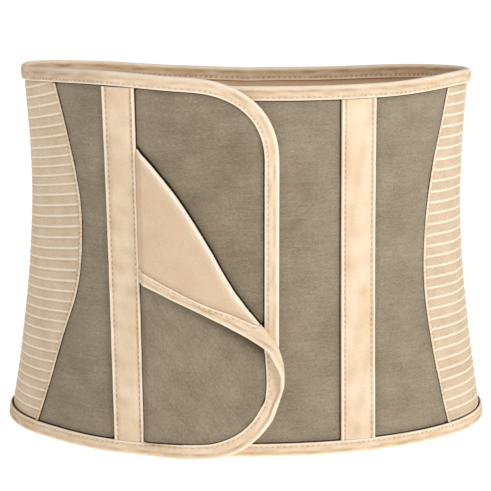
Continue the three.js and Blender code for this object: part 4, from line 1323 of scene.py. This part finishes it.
def hook_patch():
    """The hidden hook tape between the flaps: a plain sheet with a gritty face."""
    c, v = share_grid(27, 61)
    z = mix(*HOOK_HEIGHT, v)
    s = mix(*HOOK_GIRTH, c)
    inner, outer = (right_point(s, z, offset) for offset in HOOK_OFFSET)
    made = slab("hook_patch_sheet", outer, inner, np.stack([s, z], -1))
    finish_piece(made, material_for("hook_tape"), "hook_tape", "hook_patch")
    declare_sheet(outer)


# Outer flap


def flap_shares():
    """Rows across the fold, closer together where the edge curls up."""
    flat = np.linspace(0.0, 0.7, 90)
    curled = np.linspace(0.7, 1.0, 80)
    past = np.linspace(1.0, 1.056, 12)
    return np.concatenate([flat, curled[1:], past[1:]])


def flap_ends(b, seam):
    """First and last place across the fold on each row: strip or foot band, and the band's inner edge."""
    share = b / FOLD_LENGTH
    leave = leave_at(b)
    inside = np.where(share > 0.8, -0.29 * FOLD_LENGTH, leave - 1)
    start = flap_start(b, inside)
    on_band = np.interp(b, seam[:, 0], seam[:, 1]) + 0.8
    s, z = from_plane(b, 0.0)
    hidden = turned_across(b, (strip_edge_at(z) - STRIP_TUCK - s) / math.sin(FOLD_ANGLE))
    end = np.where(share <= 0.352, hidden, on_band)
    return start, end, leave


def outer_flap():
    """The flap's cloth and its lining share one grid: flat stretch, roll and turned side."""
    low = smooth_through(lower_band(), 500)
    low_seam = np.stack(to_plane(low[:, 0], low[:, 1]), -1)
    seam = np.concatenate([low_seam, smooth_through(upper_band(), 300)[:, 2:4]])
    seam = seam[seam[:, 0].argmax() :]
    seam = seam[seam[:, 0].argsort(kind="stable")]
    b = flap_shares() * FOLD_LENGTH
    start, end, leave = flap_ends(b, seam)
    roll = leave + math.pi * radius_at(b)
    flat_end = np.minimum(leave, mix(start, end, 0.6))
    roll_end = np.minimum(np.maximum(roll, flat_end), mix(flat_end, end, 0.8))
    t = np.linspace(0, 1, 61)[None, :]
    flat = mix(start[:, None], flat_end[:, None], t)
    rolled = mix(flat_end[:, None], roll_end[:, None], np.linspace(0, 1, 15)[None, 1:])
    turned = mix(roll_end[:, None], end[:, None], np.linspace(0, 1, 31)[None, 1:])
    a = np.concatenate([flat, rolled, turned], 1)
    rows = np.broadcast_to(b[:, None], a.shape)
    s, z = from_plane(rows, a)
    # The edge value paints shade where the cloth meets the strip, the foot band and the band's seam, and
    # below the turned corner's free edge.
    beside = s - strip_edge_at(z)
    gap = np.minimum(np.minimum(beside, z - band_seam_foot(s)), end[:, None] - a - 0.8)
    gap = np.where((rows > 0.35 * FOLD_LENGTH) | (a < leave[:, None]), gap, 10.0)
    free = FOLD_LENGTH * turned_edge(rows / FOLD_LENGTH) - a
    under = (a < leave[:, None]) & (rows > 0.36 * FOLD_LENGTH) & (rows < 0.88 * FOLD_LENGTH)
    gap = np.where(under, np.minimum(gap, np.maximum(free, 0)), gap)
    # The shadow value is the turned corner's painted shadow, strongest towards the far end of the fold.
    near_fold = mix(0.12, 1.0, ease((rows / FOLD_LENGTH - 0.45) / 0.4))
    shadow = np.where(a < leave[:, None], near_fold * fade(free, 3 + 5 * near_fold), 0)
    soft = millimetres("cloth_wave") * (waves(rows, a, 50, 71) + 0.4 * waves(rows, a, 15, 72))
    pull = millimetres("pucker") * np.sin(2 * math.pi * (rows + 0.4 * a) / 6.0) * fade(gap, 4)
    relief = (soft + pull) * ease(gap / 3)
    uv = np.stack([rows, a], -1)
    edge = np.clip(gap / 10, -0.3, 1)
    top = flap_point(rows, a, 1.15 + np.clip(relief, -0.4, 0.6))
    made = slab("flap_outer_cloth", top, flap_point(rows, a, 0.1), uv, {"edge": edge, "shadow": shadow}, 70)
    finish_piece(made, material_for("taupe_cloth"), "taupe_cloth", "flap_outer")
    tall = float(b[-1] - b[0]) / 1000
    declare_sheet(flap_point(rows, a, 0.6), tall)
    under = flap_point(rows, a, -0.95 - 0.5 * np.clip(relief, -0.4, 0.6))
    # The crest value paints a highlight along the lining's rolled fold.
    turn = (a - leave[:, None]) / radius_at(b)[:, None]
    crest = ease((turn - 0.4) / 0.4) * (0.85 - 0.6 * ease((turn - 2.25) / 0.8))
    crest = crest * (1 - ease((turn - 3.1) / 2.2))
    crest = np.maximum(crest, 0.11) * (rows < 0.79 * FOLD_LENGTH)
    values = {"edge": np.clip(gap / 10, 0, 1), "crest": crest}
    made = slab("flap_lining_knit", flap_point(rows, a, 0.0), under, uv, values, 70)
    finish_piece(made, material_for("lining_cloth"), "lining_cloth", "flap_lining")
    declare_sheet(flap_point(rows, a, -0.5), tall)


def flap_binding():
    """A folded band carried round the flap, crowned, creased at its stitches and round at its edge."""
    low = smooth_through(lower_band(), 300)
    high = smooth_through(upper_band(), 220)[1:]
    width = band_widths(low, high)[0]
    t = np.concatenate([[0, 0.015, 0.04], np.linspace(0.07, 0.93, 41), [0.955, 0.98, 1.0]])[None, :]
    inside = t * width
    outside = (1 - t) * width
    middle = band_place(low, high, 0.6 * width, 0.0)[:, 0]
    gone = run_length(*middle.T)[:, None]
    half = FLAP_BAND / 2 * np.sqrt(np.clip(1 - (np.clip(1.6 - outside, 0, 1.6) / 1.6) ** 2, 0, 1))
    crease = bell(inside, BAND_STITCH_IN, 0.45)
    valley = bell(outside, 4.2, 1.3)
    half = half - 0.3 * crease - 0.25 * ease((0.7 - inside) / 0.7) - 0.22 * valley
    pull = np.sin(2 * math.pi * gone / 5.2 + 1.5 * np.sin(gone / 12) + 0.3 * inside)
    half = half + millimetres("pucker") * pull * bell(inside, 3.6, 2.4)
    sunk = 3.45 * (1 - ease(gone / 34))
    front = band_place(low, high, inside, half - sunk)
    back = band_place(low, high, inside[:, ::-1][:, 1:], -half[:, ::-1][:, 1:] - sunk)
    loops = np.concatenate([front, back], 1)
    profile = np.concatenate([t[0], t[0, ::-1][1:]]) * 10
    section = np.stack([profile, np.concatenate([half[200], -half[200][::-1][1:]])], -1)
    at = np.broadcast_to(gone, loops.shape[:2])
    around = np.concatenate([inside, 30 - inside[:, ::-1][:, 1:]], 1)
    tone = tape_tone(inside, outside, gone)
    tone = np.concatenate([tone, tone[:, ::-1][:, 1:]], 1)
    made = tube("flap_binding_tape", loops, section, np.stack([at, around], -1), {"tone": tone}, 70)
    finish_piece(made, material_for("binding_tape"), "binding_tape", "flap_binding")


# Stitches


def stitch_mesh(name, runs):
    """Bowed six-sided threads: rings along each stitch, sunk at its ends, all in one mesh."""
    length = millimetres("stitch_length")
    radius = millimetres("thread_radius")
    centre, along, out = (np.concatenate(part) for part in zip(*runs))
    side = np.cross(along, out)
    t = np.array([-0.5, -0.34, 0.0, 0.34, 0.5]) * length
    swell = np.array([0.3, 0.9, 1.0, 0.9, 0.3]) * radius
    bow = np.array([-1.2, -0.2, 0.35, -0.2, -1.2]) * radius
    turn = np.arange(6) * math.pi / 3
    rings = centre[:, None, None] + along[:, None, None] * t[None, :, None, None]
    rings = rings + out[:, None, None] * (bow[:, None] + swell[:, None] * np.sin(turn))[None, :, :, None]
    rings = rings + side[:, None, None] * (swell[:, None] * np.cos(turn))[None, :, :, None]
    index = np.arange(30).reshape(5, 6)
    after = np.roll(index, -1, 1)
    quads = np.stack([index[:-1], after[:-1], after[1:], index[1:]], -1).reshape(-1, 4)
    caps = np.array([[0, 3, 2, 1], [0, 5, 4, 3], [24, 25, 26, 27], [24, 27, 28, 29]])
    one = np.concatenate([quads, caps])
    one = turned_out(rings[0].reshape(-1, 3), [one])[0]
    faces = (one[None] + (np.arange(len(centre)) * 30)[:, None, None]).reshape(-1, 4)
    made = make_object(name, rings.reshape(-1, 3), [faces], np.zeros((len(centre) * 30, 2)))
    finish_piece(made, material_for("seam_tape"), "seam_tape")


def stitch_line(place, total, start=0.0):
    """Even stitches along place(distance, offset): centre, direction along, and direction out."""
    pitch = millimetres("stitch_length") + millimetres("stitch_gap")
    at = np.arange(start + pitch, total - pitch, pitch)
    centre = place(at, 0.0)
    along = place(at + 0.6, 0.0) - place(at - 0.6, 0.0)
    along /= np.linalg.norm(along, axis=1)[:, None]
    out = place(at, 1.0) - centre
    out -= (out * along).sum(1)[:, None] * along
    out /= np.linalg.norm(out, axis=1)[:, None]
    return centre, along, out


def binding_stitches():
    """One line on the outer leg and one on the inner leg of both edge bindings."""
    runs = []
    for up in (True, False):
        rows = edge_stations(up, TAPE_STEP)
        for offset, sign in ((BINDING_OUT - 0.3, 1), (BINDING_IN + 0.3, -1)):

            def place(at, out, rows=rows, offset=offset, sign=sign):
                kind = rows[np.clip(np.searchsorted(rows[:, 6], at), 0, len(rows) - 1), 0]
                path = np.stack([np.interp(at, rows[:, 6], rows[:, i]) for i in range(7)], -1)
                path[:, 0] = kind
                inwards = np.array([[BINDING_WIDTH - STITCH_IN]])
                return edge_point(path, inwards, np.array([[offset + sign * out]]))[:, 0]

            runs.append(stitch_line(place, rows[-1, 6]))
    stitch_mesh("binding_stitches", runs)


def strip_stitches():
    """Two lines on each boning strip, beside the piping."""
    runs = []
    foot = TRIM_FOOT
    for edges, left in ((STRIP_LEFT, True), (STRIP_RIGHT, False)):
        rim = rim_left if left else rim_right
        head = min(float(rim(s / float(girth(HEIGHT)))) for s in edges[1]) - foot
        for share in (STRIP_STITCH_IN / STRIP_WIDTH, 1 - STRIP_STITCH_IN / STRIP_WIDTH):

            def place(at, out, edges=edges, left=left, share=share, head=head):
                z = foot + at
                t = at / (head - foot)
                low = mix(edges[0][0], edges[1][0], t)
                s = mix(low, mix(edges[0][1], edges[1][1], t), share)
                return (left_point if left else right_point)(s, z, TRIM_OUT + 0.62 + out)

            runs.append(stitch_line(place, head - foot))
    stitch_mesh("strip_stitches", runs)


def flap_stitches():
    """One line near the seam of the flap's band, on the side that shows."""
    low = smooth_through(lower_band(), 500)
    high = smooth_through(upper_band(), 400)[1:]
    width = band_widths(low, high)[0]
    seam = BAND_STITCH_IN + 0 * width
    t = seam[len(low) :] / width[len(low) :]
    b = mix(high[:, 2:3], high[:, 0:1], t)
    a = mix(high[:, 3:4], high[:, 1:2], t)
    over = a > leave_at(b) + math.pi / 2 * radius_at(b)
    side = np.concatenate([np.ones((len(low), 1)), np.where(over, -1.0, 1.0)])
    line = band_place(low, high, seam, side * (FLAP_BAND / 2 - 0.25))[:, 0]
    above = band_place(low, high, seam, side * (FLAP_BAND / 2 + 0.75))[:, 0]
    gone = run_length(*line.T)

    def place(at, out):
        rows = [np.interp(at, gone, mix(line, above, out)[:, i]) for i in range(3)]
        return np.stack(rows, -1)

    stitch_mesh("flap_stitches", [stitch_line(place, gone[-1], 36.0)])


# Stage


def build_stage():
    """A pale floor, a white surround, a large soft key from the right front and the camera."""
    look = bpy.context.scene.binder_look
    scene = bpy.context.scene
    scene.view_settings.view_transform = "Standard"
    floor_mesh = bpy.data.meshes.new("floor")
    far = FLOOR_REACH
    corners = [(-far, -far, 0), (far, -far, 0), (far, far, 0), (-far, far, 0)]
    floor_mesh.from_pydata(corners, [], [(0, 1, 2, 3)])
    floor = bpy.data.objects.new("floor", floor_mesh)
    scene.collection.objects.link(floor)
    material = bpy.data.materials.new("matt_white_sweep")
    material.use_nodes = True
    shader = material.node_tree.nodes["Principled BSDF"]
    shader.inputs["Base Color"].default_value = (*linear(FLOOR_WHITE), 1)
    shader.inputs["Roughness"].default_value = 0.9
    shader.inputs["Emission Color"].default_value = (1, 1, 1, 1)
    shader.inputs["Emission Strength"].default_value = look.floor
    floor_mesh.materials.append(material)
    world = bpy.data.worlds.new("white_surround")
    world.use_nodes = True
    background = world.node_tree.nodes["Background"]
    background.inputs["Color"].default_value = (1, 1, 1, 1)
    background.inputs["Strength"].default_value = look.surround
    scene.world = world
    for name, place, target, size, power in (
        ("key", (1.85, -1.8, 1.6), (0, 0, 0.12), 1.3, look.key),
        ("fill", (-1.9, -1.4, 1.1), (0, 0, 0.12), 1.8, look.fill),
        ("top", (0.1, 0.5, 2.2), (0, 0, 0.1), 1.6, look.top),
    ):
        light = bpy.data.lights.new(name, "AREA")
        light.shape = "DISK"
        light.size = size
        light.energy = power
        lamp = bpy.data.objects.new(name, light)
        lamp.location = place
        aim = Vector(target) - Vector(place)
        lamp.rotation_euler = aim.to_track_quat("-Z", "Y").to_euler()
        scene.collection.objects.link(lamp)
    camera = bpy.data.cameras.new("photo_camera")
    camera.sensor_width = 36
    camera.lens = look.lens
    seen = bpy.data.objects.new("photo_camera", camera)
    seen.location = CAMERA_PLACE
    seen.rotation_euler = (math.radians(CAMERA_ANGLE), 0, 0)
    scene.collection.objects.link(seen)
    scene.camera = seen


# Settings, operators and panel


def metres(name, description, default, low, high):
    """A length property in metres."""
    return FloatProperty(
        name=name,
        description=description,
        default=default,
        min=low,
        max=high,
        unit="LENGTH",
        subtype="DISTANCE",
    )


def strength(name, description, default, **settings):
    """A light's power or a surface's strength, never below zero."""
    return FloatProperty(name=name, description=description, default=default, min=0, **settings)


def colour(name, description, default):
    """A colour given as sRGB hex and kept as linear."""
    return FloatVectorProperty(
        name=name, description=description, default=linear(default), size=3, min=0, max=1, subtype="COLOR"
    )


class BinderSizes(bpy.types.PropertyGroup):
    """Ribs, waves, puckers and stitches"""

    rib_rise: metres("Rib rise", "How far a rib stands off the elastic", 0.0002, 0.0, 0.002)
    rib_tilt_left: metres("Left rib tilt", "Climb of the left ribs towards the front", 0.017, 0.0, 0.03)
    rib_tilt_right: metres("Right rib tilt", "Climb of the right ribs towards the front", 0.004, 0.0, 0.03)
    cloth_wave: metres("Cloth wave", "Depth of the slow waves in the panels", 0.00025, 0.0, 0.001)
    pucker: metres("Pucker", "Depth of the small puckers beside the seams", 0.00013, 0.0, 0.0006)
    stitch_length: metres("Stitch length", "Length of one sewn stitch", 0.0024, 0.001, 0.006)
    stitch_gap: metres("Stitch gap", "Gap between two stitches", 0.0015, 0.0003, 0.004)
    thread_radius: metres("Thread radius", "Radius of the sewing thread", 0.00026, 0.0001, 0.001)


class BinderColours(bpy.types.PropertyGroup):
    """Colours of the cloths, tape and thread"""

    taupe: colour("Taupe", "Brushed cloth where it is lightest", "#a0927d")
    taupe_deep: colour("Deep taupe", "Brushed cloth where it is darkest", "#8d7f6a")
    taupe_speck: colour("Taupe fibre", "Pale loose fibres on the brushed cloth", "#d3c5ae")
    tape: colour("Tape", "Binding tape where it is lightest", "#f0dabe")
    # Painted highlight colour on the tapes' folds and edges and on the lining's turned fold.
    tape_highlight: colour("Worn tape", "Pale rubbed edges of the tape", "#fff6e4")
    tape_shade: colour("Tape shade", "Binding tape where its dye is deeper", "#e3c7a4")
    lining: colour("Lining", "Inner cloth where it is lightest", "#d9bd9e")
    lining_shade: colour("Lining shade", "Inner cloth where its dye is deeper", "#cfaf8c")
    elastic: colour("Elastic", "Ground of the side panels", "#e3cdb2")
    elastic_shade: colour("Elastic shade", "Deeper ground of the side panels", "#d2bb9d")
    elastic_rib: colour("Rib", "Raised cords of the side panels", "#f8ead4")
    thread: colour("Thread", "Sewing thread", "#faecd4")


class BinderLook(bpy.types.PropertyGroup):
    """Lights, surround and lens"""

    key: strength("Key light", "Power of the right front light", 42, unit="POWER")
    fill: strength("Fill light", "Power of the left light", 4.4, unit="POWER")
    top: strength("Top light", "Power of the light above", 1.3, unit="POWER")
    surround: strength("Surround", "Strength of the white surround", 0.42)
    floor: strength("Floor", "Own light of the white floor", 0.62)
    lens: FloatProperty(name="Lens", description="Focal length", default=192.4, min=20, unit="CAMERA")


class BINDER_OT_cloth_panels(bpy.types.Operator):
    """Make the brushed front and back panels"""

    bl_idname = "binder.cloth_panels"
    bl_label = "Cloth panels"

    def execute(self, context):
        def right_gap(u, s, v):
            return seam_right(v) - u - TAPE_SIDE

        def back_gap(u, s, v):
            return np.minimum(u - seam_right_back(v), 2 * HALF + seam_left_back(v) - u) - TAPE_SIDE

        def left_gap(u, s, v):
            return np.minimum(u - seam_left(v) - TAPE_SIDE, FLAP_REACH - s - BINDING_WIDTH)

        panel("front_panel_right", front_right_place, 90, 120, False, right_gap, STRIP_RIGHT, 11)
        panel("back_panel", back_place, 130, 110, False, back_gap, None, 12)
        panel("front_panel_left", front_left_place, 80, 120, True, left_gap, STRIP_LEFT, 13)
        return {"FINISHED"}


class BINDER_OT_linings(bpy.types.Operator):
    """Make the inner cloths of the front and back panels"""

    bl_idname = "binder.linings"
    bl_label = "Linings"

    def execute(self, context):
        lining("front_right_lining", front_right_place, 70, 70, False, 21)
        lining("back_lining", back_place, 110, 90, False, 22)
        lining("front_left_lining", front_left_place, 70, 70, True, 23)
        return {"FINISHED"}


class BINDER_OT_side_panels(bpy.types.Operator):
    """Make the two ribbed elastic side panels"""

    bl_idname = "binder.side_panels"
    bl_label = "Side panels"

    def execute(self, context):
        side_panel("side_panel_right", side_right_place, False)
        side_panel("side_panel_left", side_left_place, True)
        return {"FINISHED"}


class BINDER_OT_bindings(bpy.types.Operator):
    """Make the folded tape bindings of the main edges"""

    bl_idname = "binder.bindings"
    bl_label = "Bindings"

    def execute(self, context):
        edge_binding("top_binding", True, 1.0)
        edge_binding("bottom_binding", False, 2.0)
        under_flap_binding()
        return {"FINISHED"}


class BINDER_OT_strips(bpy.types.Operator):
    """Make the two boning strips and the hidden hook tape"""

    bl_idname = "binder.strips"
    bl_label = "Boning strips"

    def execute(self, context):
        boning_strip("boning_strip_left", STRIP_LEFT, True, 3)
        boning_strip("boning_strip_right", STRIP_RIGHT, False, 5)
        hook_patch()
        return {"FINISHED"}


class BINDER_OT_seam_tapes(bpy.types.Operator):
    """Make the narrow overlocked tapes over the side seams"""

    bl_idname = "binder.seam_tapes"
    bl_label = "Seam tapes"

    def execute(self, context):
        seam_tape("seam_tape_left_front", seam_left, True)
        seam_tape("seam_tape_left_back", seam_left_back, True)
        seam_tape("seam_tape_right_front", seam_right, False)
        seam_tape("seam_tape_right_back", seam_right_back, False)
        return {"FINISHED"}


class BINDER_OT_outer_flap(bpy.types.Operator):
    """Make the outer flap with its turned corner and band"""

    bl_idname = "binder.outer_flap"
    bl_label = "Outer flap"

    def execute(self, context):
        outer_flap()
        flap_binding()
        return {"FINISHED"}


class BINDER_OT_stitching(bpy.types.Operator):
    """Sew the stitch lines of the bindings, strips and flap"""

    bl_idname = "binder.stitching"
    bl_label = "Stitching"

    def execute(self, context):
        binding_stitches()
        strip_stitches()
        flap_stitches()
        return {"FINISHED"}


class BINDER_OT_stage(bpy.types.Operator):
    """Set up the floor, lights and camera"""

    bl_idname = "binder.stage"
    bl_label = "Stage"

    def execute(self, context):
        build_stage()
        return {"FINISHED"}


OPERATORS = (
    BINDER_OT_cloth_panels,
    BINDER_OT_linings,
    BINDER_OT_side_panels,
    BINDER_OT_bindings,
    BINDER_OT_strips,
    BINDER_OT_seam_tapes,
    BINDER_OT_outer_flap,
    BINDER_OT_stitching,
    BINDER_OT_stage,
)


class BINDER_PT_panel(bpy.types.Panel):
    """The binder's pieces, sizes and colours"""

    bl_idname = "BINDER_PT_panel"
    bl_label = "Abdominal binder"
    bl_space_type = "VIEW_3D"
    bl_region_type = "UI"
    bl_category = "Binder"

    def draw(self, context):
        for operator in OPERATORS:
            self.layout.operator(operator.bl_idname)
        for group in (context.scene.binder_sizes, context.scene.binder_colours, context.scene.binder_look):
            for name in group.__annotations__:
                self.layout.prop(group, name)


GROUPS = {"binder_sizes": BinderSizes, "binder_colours": BinderColours, "binder_look": BinderLook}


def register():
    """Makes the classes and the scene's settings known to Blender."""
    for kind in (*GROUPS.values(), *OPERATORS, BINDER_PT_panel):
        bpy.utils.register_class(kind)
    for name, group in GROUPS.items():
        setattr(bpy.types.Scene, name, PointerProperty(type=group))


def unregister():
    """Takes them away again, in the opposite order."""
    for name in GROUPS:
        delattr(bpy.types.Scene, name)
    for kind in (BINDER_PT_panel, *reversed(OPERATORS), *reversed(GROUPS.values())):
        bpy.utils.unregister_class(kind)


def main():
    """Builds every group of pieces and the stage."""
    register()
    for operator in OPERATORS:
        group, action = operator.bl_idname.split(".")
        getattr(getattr(bpy.ops, group), action)()


if __name__ == "__main__":
    main()
